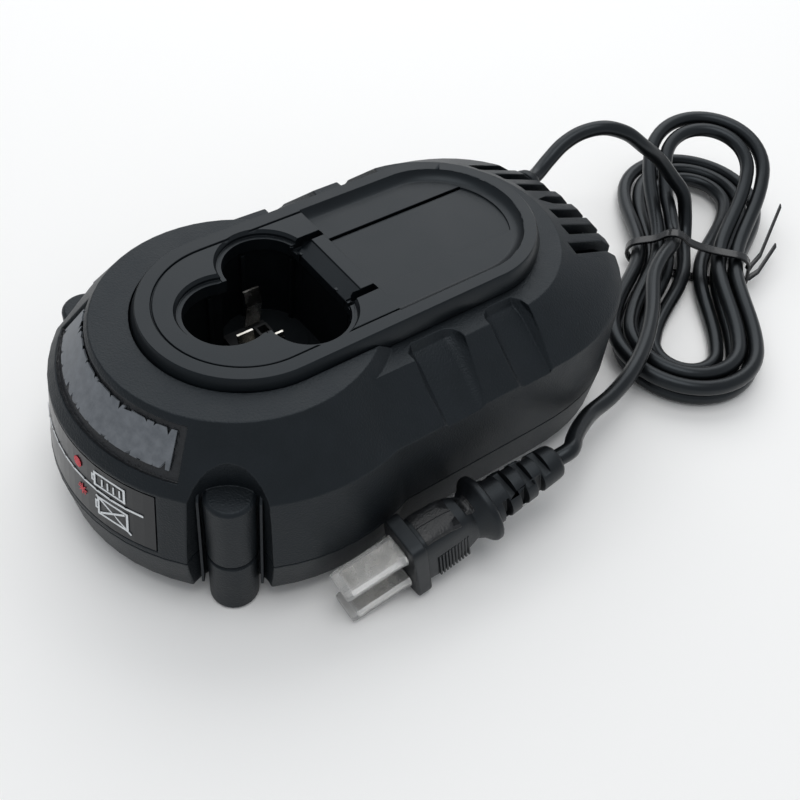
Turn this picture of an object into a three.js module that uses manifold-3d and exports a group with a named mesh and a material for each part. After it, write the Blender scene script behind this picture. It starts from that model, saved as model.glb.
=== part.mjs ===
// Drop-in charger for a stick battery: oval case, three-lobed socket, tied mains cord and plug.
// Millimetres, +Z up, nose towards -Y. The origin is the bottom centre of the case's box.
import * as THREE from 'three';
import { mergeVertices } from 'three/addons/utils/BufferGeometryUtils.js';
import Module from 'manifold-3d';

const wasm = await Module();
wasm.setup();

// Driving dimensions.
const bodyLength = 185.3;
const noseRadius = 57.4;
const caseHeight = 64.4;
const wall = 2.4;
const gap = 0.3;
const cordDiameter = 5.4;
const bladeWidth = 6.35;
const bladeThickness = 1.5;
const bladeSpacing = 12.7;
const bladeReach = 17.0;
const screwRadius = 1.6;
const screwHeadRadius = 3.2;
const screwHeadHeight = 2.2;
const bossWall = 1.0;
const footProud = 0.5;
const footDepth = 1.0;
const footRim = 1.7;
const insideClearance = 2.0;
const guardCover = 0.8;

// Facet counts.
const circleSteps = 60;
const smallSteps = 16;
const lobeSteps = 36;
const rearSteps = 32;
const sleeveSteps = 12;
const cordSides = 8;
const hankSides = 6;

// Shares of the nose radius, measured across the case.
const widthShares = {
  rearReach: 1.03833,
  sideBottom: 0.91638,
  sideParting: 0.9338,
  noseBottom: 0.96167,
  noseShoulder: 0.95296,
  noseTop: 0.69686,
  noseTopY: -0.03484,
  rearBottomReach: 0.94774,
  rearPartingReach: 0.97909,
  rearCentreBack: 0.02962,
  frontOfRun: 0.03484,
  deckOuter: 0.53484,
  deckTop: 0.5122,
  deckSeat: 0.47038,
  deckInner: 0.42683,
  trayTop: 0.43206,
  trayFoot: 0.39721,
  channelHalf: 0.20906,
  noseLobe: 0.24042,
  noseLobeY: -0.09059,
  sideLobe: 0.23345,
  sideLobeX: 0.20209,
  sideLobeY: 0.23345,
  tongueEdgeY: 0.46864,
  notchX: 0.23868,
  notchHalf: 0.02178,
  notchFrontY: 0.41812,
  notchBackY: 0.60279,
  lobeChamfer: 0.01568,
  wellWall: 0.02787,
  columnX: 0.7108,
  columnY: -0.51568,
  columnRadius: 0.12021,
  columnRecess: 0.20906,
  columnRecessOut: 0.15854,
  columnChamfer: 0.01568,
};

// Shares of the case height, measured up from the surface it stands on.
const heightShares = {
  bottom: 0.10792,
  parting: 0.30901,
  shoulder: 0.68323,
  ledge: 0.90062,
  flange: 0.95342,
  deckFront: 0.98758,
  tray: 0.95807,
  channel: 0.94876,
  wellFloor: 0.51242,
  wellBase: 0.48137,
  columnTop: 0.68634,
  notch: 0.94099,
  lobeChamferFoot: 0.9736,
  roof: 0.86335,
  roofKnee: 0.76087,
  roofFoot: 0.65217,
  bossTop: 0.72981,
  screwTop: 0.49689,
};

// Shares of the straight run between the nose centre and the rear centre.
const runShares = {
  facetEnd: 0.44656,
  recessOneFloor: 0.48316,
  recessOneFillet: 0.63836,
  ribFront: 0.70278,
  ribBack: 0.83455,
  recessTwoFloor: 0.86969,
  recessTwoFillet: 1,
  slopeEdgeTop: 1.02489,
  slopeEdgeFoot: 1.07613,
  trayStart: 0.50659,
  channelStart: 0.54905,
};

// Side profile points: share of the nose radius across, share of the case height up.
const recessShares = [
  [0.4878, 1.04814],
  [0.54007, 0.95342],
  [0.58885, 0.86335],
  [0.66551, 0.83075],
  [0.91115, 0.6677],
  [1.04181, 0.58075],
];
const filletShare = 0.07666;
const filletSteps = 4;
const recessHeadroomShare = 0.20906;
const cutMarginShare = 0.10453;

// Long body above the parting, level by level: half width, reach behind a centre that lies behind the
// rear centre, height, and how square the outline is.
const bodyShares = [
  { half: 0.9338, reach: 0.97909, back: 0.02962, height: 0.30901, square: 2.4 },
  { half: 0.91463, reach: 1.00697, back: 0.02962, height: 0.68323, square: 2.4 },
  { half: 0.88676, reach: 1.00871, back: 0.02962, height: 0.70807, square: 2.4 },
  { half: 0.8101, reach: 0.94425, back: 0.02962, height: 0.77484, square: 2.3 },
  { half: 0.70819, reach: 0.71254, back: 0.01916, height: 0.86335, square: 2.1 },
  { half: 0.66551, reach: 0.66028, back: 0, height: 0.90062, square: 2 },
];

// Inside of the case, in the same way.
const cavityShares = [
  { half: 0.8885, reach: 0.9338, back: 0.02962, height: 0.31056, square: 2.4 },
  { half: 0.83275, reach: 0.9547, back: 0.02962, height: 0.68012, square: 2.4 },
  { half: 0.75087, reach: 0.89547, back: 0.02962, height: 0.73602, square: 2.3 },
  { half: 0.62021, reach: 0.65505, back: 0.01916, height: 0.82298, square: 2.1 },
  { half: 0.52962, reach: 0.56794, back: 0, height: 0.86335, square: 2 },
];
const noseCavityShares = [
  { radius: 0.9547, height: 0.31056 },
  { radius: 0.90767, height: 0.62888 },
  { radius: 0.69861, height: 0.86335 },
];

// Rear vents.
const ventPitchShare = 0.13937;
const ventWidthShare = 0.07666;
const ventInnerShare = 0.73171;
const ventFloorShare = 0.65994;
const ventsEachSide = 3;

// Front badge and indicator label, as angles about the nose axis.
const badgeShares = {
  edge: 39.6,
  plateEdge: 36.5,
  top: [0.75087, 0.92624],
  foot: [0.90767, 0.73758],
  plateTop: [0.76829, 0.90481],
  plateFoot: [0.87979, 0.7705],
};
const badgeDepth = 1.3;
const badgePlateDepth = 0.4;
const badgePlateThickness = 0.6;
const labelShares = {
  edge: 34.1,
  top: 0.6677,
  foot: 0.33851,
};
const labelDepth = 0.9;
const labelProud = 0.1;
const labelThickness = 0.5;
const bandSteps = 20;
const quarterTurn = Math.PI / 2;
const degree = Math.PI / 180;

// Bosses and rear legs: shares of the nose radius from the nose or rear centre.
const bossShares = [
  { end: 0, x: 0.36934, y: -0.68641 },
  { end: 1, x: 0.70557, y: 0.41812 },
];
const rearLegShares = { x: 0.52265, y: 0.62718 };

// Parts inside: across in shares of the nose radius, along in shares of the room from the well to the
// rear wall, and up in shares of the case height.
const insideShares = {
  board: { x: 0, y: 0.48079, half: 0.59233, reach: 0.32931, low: 0.35714, high: 0.38199 },
  core: { x: -0.10453, y: 0.45884, half: 0.26132, reach: 0.13172, low: 0.39596, high: 0.71429 },
  coil: { x: -0.10453, y: 0.45884, half: 0.14983, reach: 0.18661, low: 0.45807, high: 0.65217 },
  sink: { x: 0.41812, y: 0.43688, half: 0.02439, reach: 0.20856, low: 0.39596, high: 0.69876 },
  chip: { x: 0.35889, y: 0.48079, half: 0.02787, reach: 0.05488, low: 0.41925, high: 0.63665 },
  relay: { x: -0.52265, y: 0.56861, half: 0.08711, reach: 0.08782, low: 0.39596, high: 0.57453 },
  fuse: { x: -0.52265, y: 0.32711, half: 0.05226, reach: 0.09879, low: 0.39596, high: 0.49689 },
};
const capacitorShares = [
  { name: 'capacitor_large', x: 0.17422, y: 0.72228, radius: 0.12544, low: 0.3882, high: 0.64441 },
  { name: 'capacitor_small', x: 0.43554, y: 0.73875, radius: 0.08014, low: 0.3882, high: 0.57453 },
];
const standoffShares = { x: 0.50523, y: 0.26345, radius: 0.0453 };
const wellPostShares = { x: 0, front: -0.13937, back: 0.27875, radius: 0.05226 };

// Socket fittings, in shares of the nose radius from the nose axis.
const blockShares = { x: -0.06969, y: 0.15679, half: 0.22648, reach: 0.12195, low: 0.51863, high: 0.5528 };
const postShares = { x: -0.17422, y: 0.20906, half: 0.03833, bore: 0.02439, high: 0.6118, boreFloor: 0.55901 };
const contactShares = [
  { name: 'contact_left', x: -0.29268, y: 0.20906, high: 0.7764 },
  { name: 'contact_middle', x: 0.0784, y: 0.12195, high: 0.80745 },
  { name: 'contact_front', x: -0.06969, y: 0.03833, high: 0.74534 },
];
const contactHalfWidth = 2.6;
const contactHalfThickness = 0.35;
const contactCrest = 1.6;

// Cord guard in the rear wall: base point, heading and the lathe profile along it.
const guardPoint = [-0.11495, 0.48289, 0.21856];
const guardHeading = [-0.33, 0.944, 0];
const guardShares = { flange: 0.96, body: 0.86, collar: 1.0, tip: 0.8 };
const guardReachShares = {
  inside: 1.37037,
  flangeIn: 0.96296,
  wallIn: 0.90741,
  collarIn: 0.25926,
  collarOut: 0.66667,
  tip: 1.05556,
};

// Hank: a pinched racetrack wound outwards on the surface and back inwards above.
const hankCentre = [0.08743, 0.80734, 0];
const hankHeading = 131 * degree;
const hankRunShare = 0.23206;
const hankInnerShare = 0.04857;
const hankTurnGap = 0.8;
const hankPitch = cordDiameter + hankTurnGap;
const hankWaistPitch = 0.3;
const hankPinchShare = 0.04425;
const hankLayerGap = 0.75;
const hankLayer = cordDiameter + hankLayerGap;
const hankRaise = 1.8;
const hankLiftShares = [0.01619, 0.11873];
const hankLiftStart = -0.02698;
const hankLiftRun = 0.43173;
const hankTurns = 3;
const hankFrom = 0.0915;
const hankTo = 5.03;
const loopSteps = 24;
const runSteps = 5;
const leastGap = 0.4;
const nearTurns = 0.3;
const pointsEach = 4;

// Cord routes: hand-chosen points, in shares of the case length.
const cordToHankPoints = [
  [-0.14517, 0.57663, 0.23206],
  [-0.15111, 0.61603, 0.2504],
  [-0.14733, 0.65758, 0.26444],
  [-0.1306, 0.70076, 0.27091],
  [-0.10631, 0.74231, 0.25904],
  [-0.08581, 0.78009, 0.22882],
  [-0.07501, 0.8292, 0.18672],
  [-0.05451, 0.86212, 0.14463],
  [-0.02968, 0.88532, 0.10739],
  [-0.00971, 0.8864, 0.068],
  [0.01187, 0.87345, 0.03994],
];
const cordToPlugPoints = [
  [-0.01619, 0.84269, 0.08041],
  [0.02375, 0.81301, 0.07232],
  [0.05127, 0.78171, 0.08041],
  [0.06908, 0.74501, 0.09012],
  [0.08527, 0.70561, 0.09444],
  [0.11225, 0.65704, 0.0939],
  [0.18457, 0.57717, 0.09174],
  [0.23907, 0.50162, 0.09498],
  [0.27739, 0.42768, 0.09606],
  [0.2979, 0.35753, 0.09174],
  [0.30977, 0.29655, 0.09714],
  [0.3292, 0.25013, 0.11117],
  [0.34916, 0.21398, 0.12412],
];
const cordSteps = 44;

// Tie round the waist: points across the hank, in shares of the cord diameter.
const tieShares = [
  [0, 0.16],
  [1.4, 0.16],
  [2.7, 0.13],
  [3.55, 0.33],
  [4.2, 0.8],
  [4.5, 1.45],
  [4.28, 2.05],
  [3.65, 2.42],
  [3, 2.7],
  [2.62, 2.94],
  [2.34, 3.2],
  [2.03, 3.46],
  [1.5, 3.58],
  [0.98, 3.44],
  [0.56, 3.12],
  [-0.3, 2.87],
  [-1.4, 2.77],
  [-2.4, 2.77],
  [-3.3, 2.75],
  [-3.85, 2.34],
  [-4.03, 1.6],
  [-4.14, 0.95],
  [-4, 0.36],
  [-3.45, 0.1],
  [-2.4, 0.13],
  [-1, 0.15],
];
const tieWidth = 4.0;
const tieThickness = 1.1;
const tieSteps = 60;
const tieEndShares = [
  [[0.4, -4.08, 1.5], [2.0, -4.9, 1.7], [7.3, -6.2, 2.5]],
  [[-0.3, -4.1, 1.2], [0.6, -4.85, 1.3], [3.8, -6.1, 1.5]],
];
const tieEndHalf = 1.3;
const tieEndThickness = 0.5;

// Plug: front of its plate, heading and rise, and its outline along the axis, in shares of its reach.
const plugPoint = [0.35402, -0.13681, 0.06811];
const plugYaw = 2.5 * degree;
const plugPitch = 11.3 * degree;
const plateHalfShares = { across: 1.236, up: 1.984 };
const plateDepth = 4.6;
const plugReach = 55.3;
const plugStationShares = [
  [0.07052, 0.11935, 0.19168],
  [0.14467, 0.12477, 0.1953],
  [0.25316, 0.12116, 0.18445],
  [0.34358, 0.11392, 0.15913],
  [0.40868, 0.11754, 0.13924],
  [0.44846, 0.14467, 0.15552],
  [0.47559, 0.17902, 0.18083],
  [0.48825, 0.18807, 0.18807],
  [0.51356, 0.18807, 0.18807],
  [0.52441, 0.1736, 0.1736],
  [0.52984, 0.12839, 0.12839],
  [0.72333, 0.11573, 0.11573],
  [0.95479, 0.09946, 0.09946],
  [0.98373, 0.09403, 0.09403],
  [1, 0.07595, 0.07595],
];
const plugSquare = 4;
const roundSquare = 2;
const roundFromShare = 0.39783;
const reliefSlotShares = [0.60036, 0.71248, 0.82459];
const reliefStagger = 3.1;
const reliefSlotHalf = 1.05;
const reliefCore = 3.7;
const reliefSlotReach = 4.4;
const plugSlotDepth = 3.3;
const sleeveShares = { across: 1.512, up: 2.467, reach: 1.176, bore: 1.05, tipAcross: 0.94, tipUp: 0.86 };
const sleeveFlare = 0.25;
const sleeveFlareDepth = 3.0;
const sleeveTipDepth = 1.0;
const sleeveSquare = 4;
const plateSquare = 8;

const black = { color: 0x1d1f21, roughness: 0.55, metalness: 0 };
const deckBlack = { color: 0x17181a, roughness: 0.4, metalness: 0 };
const rubberBlack = { color: 0x141517, roughness: 0.75, metalness: 0 };
const satinGrey = { color: 0x3b3a3a, roughness: 0.45, metalness: 0.3 };
const steel = { color: 0xb9bcc0, roughness: 0.35, metalness: 1 };
const copper = { color: 0xc07d4e, roughness: 0.35, metalness: 1 };
const boardGreen = { color: 0x2d5a3a, roughness: 0.6, metalness: 0 };
const clear = { color: 0xd8d8d4, roughness: 0.25, metalness: 0 };

const w = (share) => share * noseRadius;
const h = (share) => share * caseHeight;
const b = (share) => share * bodyLength;
const width = Object.fromEntries(Object.entries(widthShares).map(([key, share]) => [key, w(share)]));
const height = Object.fromEntries(Object.entries(heightShares).map(([key, share]) => [key, h(share)]));
const noseY = noseRadius - bodyLength / 2;
const straight = bodyLength - noseRadius - width.rearReach;
const rearY = noseY + straight;
const runAt = Object.fromEntries(
  Object.entries(runShares).map(([key, share]) => [key, noseY + share * straight]),
);
const cutMargin = w(cutMarginShare);
const above = caseHeight + cutMargin;
const point = (shares) => new THREE.Vector3(b(shares[0]), b(shares[1]), b(shares[2]));
const gapHalf = gap / 2;
const caseTopOfLower = height.parting - gapHalf;
const caseBottomOfUpper = height.parting + gapHalf;

const group = new THREE.Group();
group.name = 'battery_charger';

function material(look) {
  return new THREE.MeshStandardMaterial(look);
}

function addMesh(name, geometry, look) {
  const mesh = new THREE.Mesh(geometry, material(look));
  mesh.name = name;
  group.add(mesh);
  return mesh;
}

function addSolid(name, solid, look) {
  const out = solid.getMesh();
  const geometry = new THREE.BufferGeometry();
  geometry.setAttribute('position', new THREE.BufferAttribute(new Float32Array(out.vertProperties), 3));
  geometry.setIndex(new THREE.BufferAttribute(new Uint32Array(out.triVerts), 1));
  geometry.computeVertexNormals();
  return addMesh(name, geometry, look);
}

function toSolid(positions, indices) {
  let volume = 0;
  const corner = (index) => new THREE.Vector3().fromArray(positions, index * 3);
  for (let i = 0; i < indices.length; i += 3) {
    const a = corner(indices[i]);
    const c = corner(indices[i + 1]).cross(corner(indices[i + 2]));
    volume += a.dot(c);
  }
  if (volume < 0) {
    indices.reverse();
  }
  const mesh = new wasm.Mesh({
    numProp: 3,
    vertProperties: new Float32Array(positions),
    triVerts: new Uint32Array(indices),
  });
  return new wasm.Manifold(mesh);
}

// Closed skin over rings of equal count, capped with the flat outline.
function skin(rings, flat) {
  const count = flat.length;
  const positions = rings.flat(2);
  const indices = [];
  for (let i = 0; i + 1 < rings.length; i += 1) {
    for (let j = 0; j < count; j += 1) {
      const a = i * count + j;
      const c = i * count + ((j + 1) % count);
      indices.push(a, c, c + count, a, c + count, a + count);
    }
  }
  const contour = flat.map((p) => new THREE.Vector2(p[0], p[1]));
  if (THREE.ShapeUtils.isClockWise(contour)) {
    return skin(
      rings.map((ring) => [...ring].reverse()),
      [...flat].reverse(),
    );
  }
  const last = (rings.length - 1) * count;
  THREE.ShapeUtils.triangulateShape(contour, []).forEach((face) => {
    indices.push(face[2], face[1], face[0]);
    indices.push(last + face[0], last + face[1], last + face[2]);
  });
  return toSolid(positions, indices);
}

// Closed skin over rings that run round in a loop.
function loopSkin(rings) {
  const count = rings[0].length;
  const positions = rings.flat(2);
  const indices = [];
  rings.forEach((ring, i) => {
    const next = ((i + 1) % rings.length) * count;
    for (let j = 0; j < count; j += 1) {
      const k = (j + 1) % count;
      indices.push(i * count + j, i * count + k, next + k, i * count + j, next + k, next + j);
    }
  });
  return toSolid(positions, indices);
}

const raise = (outline, z) => outline.map((p) => [p[0], p[1], z]);

function loft(levels) {
  return skin(
    levels.map((level) => raise(level.outline, level.z)),
    levels[0].outline,
  );
}

function circle(x, y, radius, steps) {
  return Array.from({ length: steps }, (_, i) => {
    const angle = (i / steps) * Math.PI * 2;
    return [x + radius * Math.cos(angle), y + radius * Math.sin(angle)];
  });
}

function rod(x, y, radius, low, high, steps) {
  const outline = circle(x, y, radius, steps);
  return loft([
    { outline, z: low },
    { outline, z: high },
  ]);
}

function block(x0, x1, y0, y1, z0, z1) {
  const outline = [
    [x0, y0],
    [x1, y0],
    [x1, y1],
    [x0, y1],
  ];
  return loft([
    { outline, z: z0 },
    { outline, z: z1 },
  ]);
}

function boxOf(share, startY, along) {
  const x = w(share.x);
  const y = startY + along(share.y);
  return block(
    x - w(share.half),
    x + w(share.half),
    y - along(share.reach),
    y + along(share.reach),
    h(share.low),
    h(share.high),
  );
}

const bend = (value, square) => Math.sign(value) * Math.abs(value) ** (2 / square);

// Plan outline of the long body: a straight front and sides and a rounded rear.
function longOutline(half, centreY, reach, square) {
  const points = [[half, noseY + width.frontOfRun]];
  for (let i = 0; i <= rearSteps; i += 1) {
    const angle = (i / rearSteps) * Math.PI;
    points.push([half * bend(Math.cos(angle), square), centreY + reach * bend(Math.sin(angle), square)]);
  }
  points.push([-half, noseY + width.frontOfRun]);
  return points;
}

function longLevels(shares, low) {
  return shares.map((share, i) => ({
    outline: longOutline(w(share.half), rearY + w(share.back), w(share.reach), share.square),
    z: i === 0 ? low : h(share.height),
  }));
}

function stadium(radius) {
  const points = [];
  const half = circleSteps / 2;
  for (let i = 0; i <= half; i += 1) {
    const angle = (i / half) * Math.PI;
    points.push([radius * Math.cos(angle), rearY + radius * Math.sin(angle)]);
  }
  for (let i = 0; i <= half; i += 1) {
    const angle = Math.PI + (i / half) * Math.PI;
    points.push([radius * Math.cos(angle), noseY + radius * Math.sin(angle)]);
  }
  return points;
}

function prism(outline, low, high) {
  return loft([
    { outline, z: low },
    { outline, z: high },
  ]);
}

const mirrored = (solid) => solid.mirror([1, 0, 0]);
const both = (solid) => solid.add(mirrored(solid));

// Case outside.
const columnY = noseY + width.columnY;
const rearCentreBack = rearY + width.rearCentreBack;
const rearSquare = bodyShares[0].square;
const columnOut = new THREE.Vector2(width.columnX, width.columnY).setLength(width.columnRecessOut);
const recessX = width.columnX + columnOut.x;
const recessY = columnY + columnOut.y;
const columnRecess = both(rod(recessX, recessY, width.columnRecess, -cutMargin, above, smallSteps * 2));

const lowerOuter = loft([
  { outline: circle(0, noseY, width.noseBottom, circleSteps), z: height.bottom },
  { outline: circle(0, noseY, noseRadius, circleSteps), z: caseTopOfLower },
]).add(
  loft([
    {
      outline: longOutline(width.sideBottom, rearCentreBack, width.rearBottomReach, rearSquare),
      z: height.bottom,
    },
    {
      outline: longOutline(width.sideParting, rearCentreBack, width.rearPartingReach, rearSquare),
      z: caseTopOfLower,
    },
  ]),
);

const upperOuter = loft([
  { outline: circle(0, noseY, noseRadius, circleSteps), z: caseBottomOfUpper },
  { outline: circle(0, noseY, width.noseShoulder, circleSteps), z: height.shoulder },
  { outline: circle(0, noseY + width.noseTopY, width.noseTop, circleSteps), z: height.flange },
]).add(loft(longLevels(bodyShares, caseBottomOfUpper)));

// Case inside.
function cavity(low) {
  const noseLevels = noseCavityShares.map((share, i) => ({
    outline: circle(0, noseY, w(share.radius), circleSteps),
    z: i === 0 ? low : h(share.height),
  }));
  const shafts = both(rod(recessX, recessY, width.columnRecess + wall, -cutMargin, above, smallSteps * 2));
  return loft(longLevels(cavityShares, low)).add(loft(noseLevels)).subtract(shafts);
}

const bosses = [];
bossShares.forEach((share) => {
  const y = (share.end === 0 ? noseY : rearY) + w(share.y);
  bosses.push([w(share.x), y], [-w(share.x), y]);
});
const rearLegX = w(rearLegShares.x);
const rearLegY = rearY + w(rearLegShares.y);
const feet = [
  [width.columnX, columnY],
  [-width.columnX, columnY],
  [rearLegX, rearLegY],
  [-rearLegX, rearLegY],
];
const footRadius = width.columnRadius - footRim;
const footTop = footProud + footDepth;
const screwHole = screwRadius + gap;
const headHole = screwHeadRadius + gap;
const bossRadius = headHole + bossWall;
const headTop = height.bottom + wall + screwHeadHeight;
const boardLow = h(insideShares.board.low);
const wellBack = noseY + width.tongueEdgeY + width.wellWall;
const insideFront = wellBack + insideClearance;
const insideBack = rearY + w(cavityShares[0].back) + w(cavityShares[0].reach) - insideClearance;
const inside = (share) => share * (insideBack - insideFront);

// Lower case.
let lower = lowerOuter.subtract(columnRecess);
lower = lower.subtract(cavity(height.bottom + wall).intersect(block(
  -noseRadius, noseRadius, -bodyLength, bodyLength, height.bottom + wall, above,
)));
const legSteps = smallSteps * 2;
const lowerColumn = rod(width.columnX, columnY, width.columnRadius, footProud, caseTopOfLower, legSteps);
const rearLeg = rod(rearLegX, rearLegY, width.columnRadius, footProud, height.bottom + wall, legSteps);
lower = lower.add(both(lowerColumn)).add(both(rearLeg));
bosses.forEach(([x, y]) => {
  lower = lower.add(rod(x, y, bossRadius, height.bottom + gap, caseTopOfLower, smallSteps));
});
bosses.forEach(([x, y]) => {
  lower = lower.subtract(rod(x, y, screwHole, -cutMargin, above, smallSteps));
  lower = lower.subtract(rod(x, y, headHole, -cutMargin, headTop, smallSteps));
});
const standoffs = [];
[-1, 1].forEach((sideX) => {
  [-1, 1].forEach((sideY) => {
    const x = w(insideShares.board.x) + sideX * w(standoffShares.x);
    const y = insideFront + inside(insideShares.board.y + sideY * standoffShares.y);
    standoffs.push([x, y]);
  });
});
standoffs.forEach(([x, y]) => {
  lower = lower.add(
    rod(x, y, w(standoffShares.radius), height.bottom + gap, boardLow - gap, smallSteps),
  );
});
[wellPostShares.front, wellPostShares.back].forEach((share) => {
  lower = lower.add(
    rod(
      w(wellPostShares.x),
      noseY + w(share),
      w(wellPostShares.radius),
      height.bottom + gap,
      height.wellBase - gap,
      smallSteps,
    ),
  );
});
feet.forEach(([x, y]) => {
  lower = lower.subtract(
    rod(x, y, footRadius + gap, -cutMargin, footTop + gap, smallSteps),
  );
});
addSolid('lower_case', lower, black);

// Side recesses of the upper case.
// Bar swept down the side profile, with filleted corners to the rib.
function recessBar(sectionAt) {
  const path = recessShares.map(([x, z]) => new THREE.Vector2(w(x), h(z)));
  const rings = path.map((spot, i) => {
    const before = path[Math.max(i - 1, 0)];
    const after = path[Math.min(i + 1, path.length - 1)];
    const down = after.clone().sub(before).normalize();
    const out = new THREE.Vector2(-down.y, down.x);
    const lift = out.y < 0 ? out.negate() : out;
    return sectionAt(i / (path.length - 1)).map(([y, d]) => [spot.x + lift.x * d, y, spot.y + lift.y * d]);
  });
  return skin(rings, sectionAt(0));
}

const fillet = w(filletShare);
const headroom = w(recessHeadroomShare);
function cornerArc(y, sign) {
  return Array.from({ length: filletSteps + 1 }, (_, i) => {
    const angle = (i / filletSteps) * quarterTurn;
    return [y + sign * fillet * Math.sin(angle), fillet * (1 - Math.cos(angle))];
  });
}
const recessOne = recessBar(() => [
  [runAt.facetEnd, headroom],
  [runAt.facetEnd, fillet / 2],
  [runAt.recessOneFloor, 0],
  ...cornerArc(runAt.recessOneFillet, 1),
  [runAt.ribFront, headroom],
]);
const recessTwo = recessBar((share) => {
  const shift = share * (runAt.slopeEdgeFoot - runAt.slopeEdgeTop);
  return [
    [runAt.ribBack, headroom],
    ...cornerArc(runAt.recessTwoFloor + fillet / 2, -1).reverse(),
    [runAt.recessTwoFillet + shift, 0],
    [runAt.slopeEdgeTop + shift, fillet / 2],
    [runAt.slopeEdgeTop + shift, headroom],
  ];
});

// Solid band on the nose between two profile points, sunk below the surface.
function noseBand(from, to, edge, depthTop, depthFoot) {
  const slope = new THREE.Vector2(to[0] - from[0], to[1] - from[1]).normalize();
  const out = new THREE.Vector2(-slope.y, slope.x);
  const corner = (p, depth) => [p[0] - out.x * depth, p[1] - out.y * depth];
  const section = [
    corner(from, depthTop),
    corner(to, depthTop),
    corner(to, depthFoot),
    corner(from, depthFoot),
  ];
  const rings = Array.from({ length: bandSteps + 1 }, (_, i) => {
    const angle = -quarterTurn + (i / bandSteps - 1 / 2) * 2 * edge * degree;
    return section.map(([r, z]) => [r * Math.cos(angle), noseY + r * Math.sin(angle), z]);
  });
  return skin(rings, section);
}
const profilePoint = (share) => [w(share[0]), h(share[1])];
const badgeCut = noseBand(
  profilePoint(badgeShares.top),
  profilePoint(badgeShares.foot),
  badgeShares.edge,
  -cutMargin,
  badgeDepth,
);
const wallRadius = (z) => {
  const share = (z - caseBottomOfUpper) / (height.shoulder - caseBottomOfUpper);
  return noseRadius + (width.noseShoulder - noseRadius) * share;
};
const labelTop = [wallRadius(h(labelShares.top)), h(labelShares.top)];
const labelFoot = [wallRadius(h(labelShares.foot)), h(labelShares.foot)];
const labelCut = noseBand(labelTop, labelFoot, labelShares.edge, -cutMargin, labelDepth);

// Upper case.
const guardBase = point(guardPoint);
const guardAxis = new THREE.Vector3(...guardHeading).normalize();
function alongAxis(origin, axis, profile, steps) {
  const across = new THREE.Vector3(axis.y, -axis.x, 0).normalize();
  const up = new THREE.Vector3().crossVectors(across, axis);
  const flat = circle(0, 0, 1, steps);
  const rings = profile.map(([distance, radius]) =>
    flat.map(([c, s]) =>
      origin
        .clone()
        .addScaledVector(axis, distance)
        .addScaledVector(across, c * radius)
        .addScaledVector(up, s * radius)
        .toArray(),
    ),
  );
  return skin(rings, flat);
}
const guardRadius = cordDiameter * guardShares.body;
const guardReach = Object.fromEntries(
  Object.entries(guardReachShares).map(([name, share]) => [name, cordDiameter * share]),
);
const guardHole = alongAxis(
  guardBase,
  guardAxis,
  [
    [-guardReach.inside * 2, guardRadius + gap],
    [guardReach.inside * 2, guardRadius + gap],
  ],
  smallSteps,
);
const slant = width.columnChamfer;
const columnRound = circle(width.columnX, columnY, width.columnRadius, legSteps);
const columnCap = loft([
  { outline: columnRound, z: caseBottomOfUpper },
  { outline: columnRound, z: height.columnTop - slant },
  { outline: circle(width.columnX, columnY, width.columnRadius - slant, legSteps), z: height.columnTop },
]);
let upper = upperOuter.subtract(columnRecess);
upper = upper.subtract(cavity(0));
upper = upper.add(both(columnCap));
bosses.forEach(([x, y]) => {
  upper = upper.add(rod(x, y, bossRadius, caseBottomOfUpper, height.bossTop, smallSteps));
});
bosses.forEach(([x, y]) => {
  upper = upper.subtract(rod(x, y, screwHole, 0, height.screwTop + gap, smallSteps));
});
upper = upper.subtract(prism(stadium(width.deckOuter + gap), height.ledge, above));
upper = upper.subtract(prism(stadium(width.deckSeat), height.shoulder, above));
upper = upper.subtract(both(recessOne.add(recessTwo)));
upper = upper.subtract(badgeCut).subtract(labelCut).subtract(guardHole);
for (let i = -ventsEachSide; i <= ventsEachSide; i += 1) {
  const x = i * w(ventPitchShare);
  const inner = w(ventInnerShare);
  const y = rearY + Math.sqrt(inner * inner - x * x);
  const half = w(ventWidthShare) / 2;
  const overGuard = Math.abs(x - guardBase.x) < half + guardRadius + gap;
  const low = overGuard ? guardBase.z + guardRadius + gap + guardCover : h(ventFloorShare);
  upper = upper.subtract(block(x - half, x + half, y, rearY + noseRadius + cutMargin, low, above));
}
addSolid('upper_case', upper, black);

// Battery deck with its rim, tray, channel and three-lobed opening.
const lobes = [
  { x: 0, y: noseY + width.noseLobeY, radius: width.noseLobe },
  { x: width.sideLobeX, y: noseY + width.sideLobeY, radius: width.sideLobe },
  { x: -width.sideLobeX, y: noseY + width.sideLobeY, radius: width.sideLobe },
];
function trefoil(grow, low, high, flare) {
  let solid = block(
    -width.sideLobeX,
    width.sideLobeX,
    noseY + width.noseLobeY,
    noseY + width.tongueEdgeY + grow,
    low,
    high,
  );
  lobes.forEach((lobe) => {
    solid = solid.add(
      loft([
        { outline: circle(lobe.x, lobe.y, lobe.radius + grow, lobeSteps), z: low },
        { outline: circle(lobe.x, lobe.y, lobe.radius + grow + flare, lobeSteps), z: high },
      ]),
    );
  });
  return solid;
}
const behind = (solid, y) =>
  solid.intersect(block(-noseRadius, noseRadius, y, bodyLength, -cutMargin, above));
let deck = loft([
  { outline: stadium(width.deckOuter), z: height.ledge + gap },
  { outline: stadium(width.deckOuter), z: height.flange },
  { outline: stadium(width.deckTop), z: caseHeight },
]);
deck = deck.subtract(prism(stadium(width.deckInner), height.deckFront, above));
const trayCut = loft([
  { outline: stadium(width.trayFoot), z: height.tray },
  { outline: stadium(width.trayTop), z: caseHeight },
]);
deck = deck.subtract(behind(trayCut, runAt.trayStart));
const channelBand = block(
  -width.channelHalf,
  width.channelHalf,
  runAt.channelStart,
  bodyLength,
  height.channel,
  above,
);
deck = deck.subtract(prism(stadium(width.trayFoot), height.channel, above).intersect(channelBand));
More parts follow.
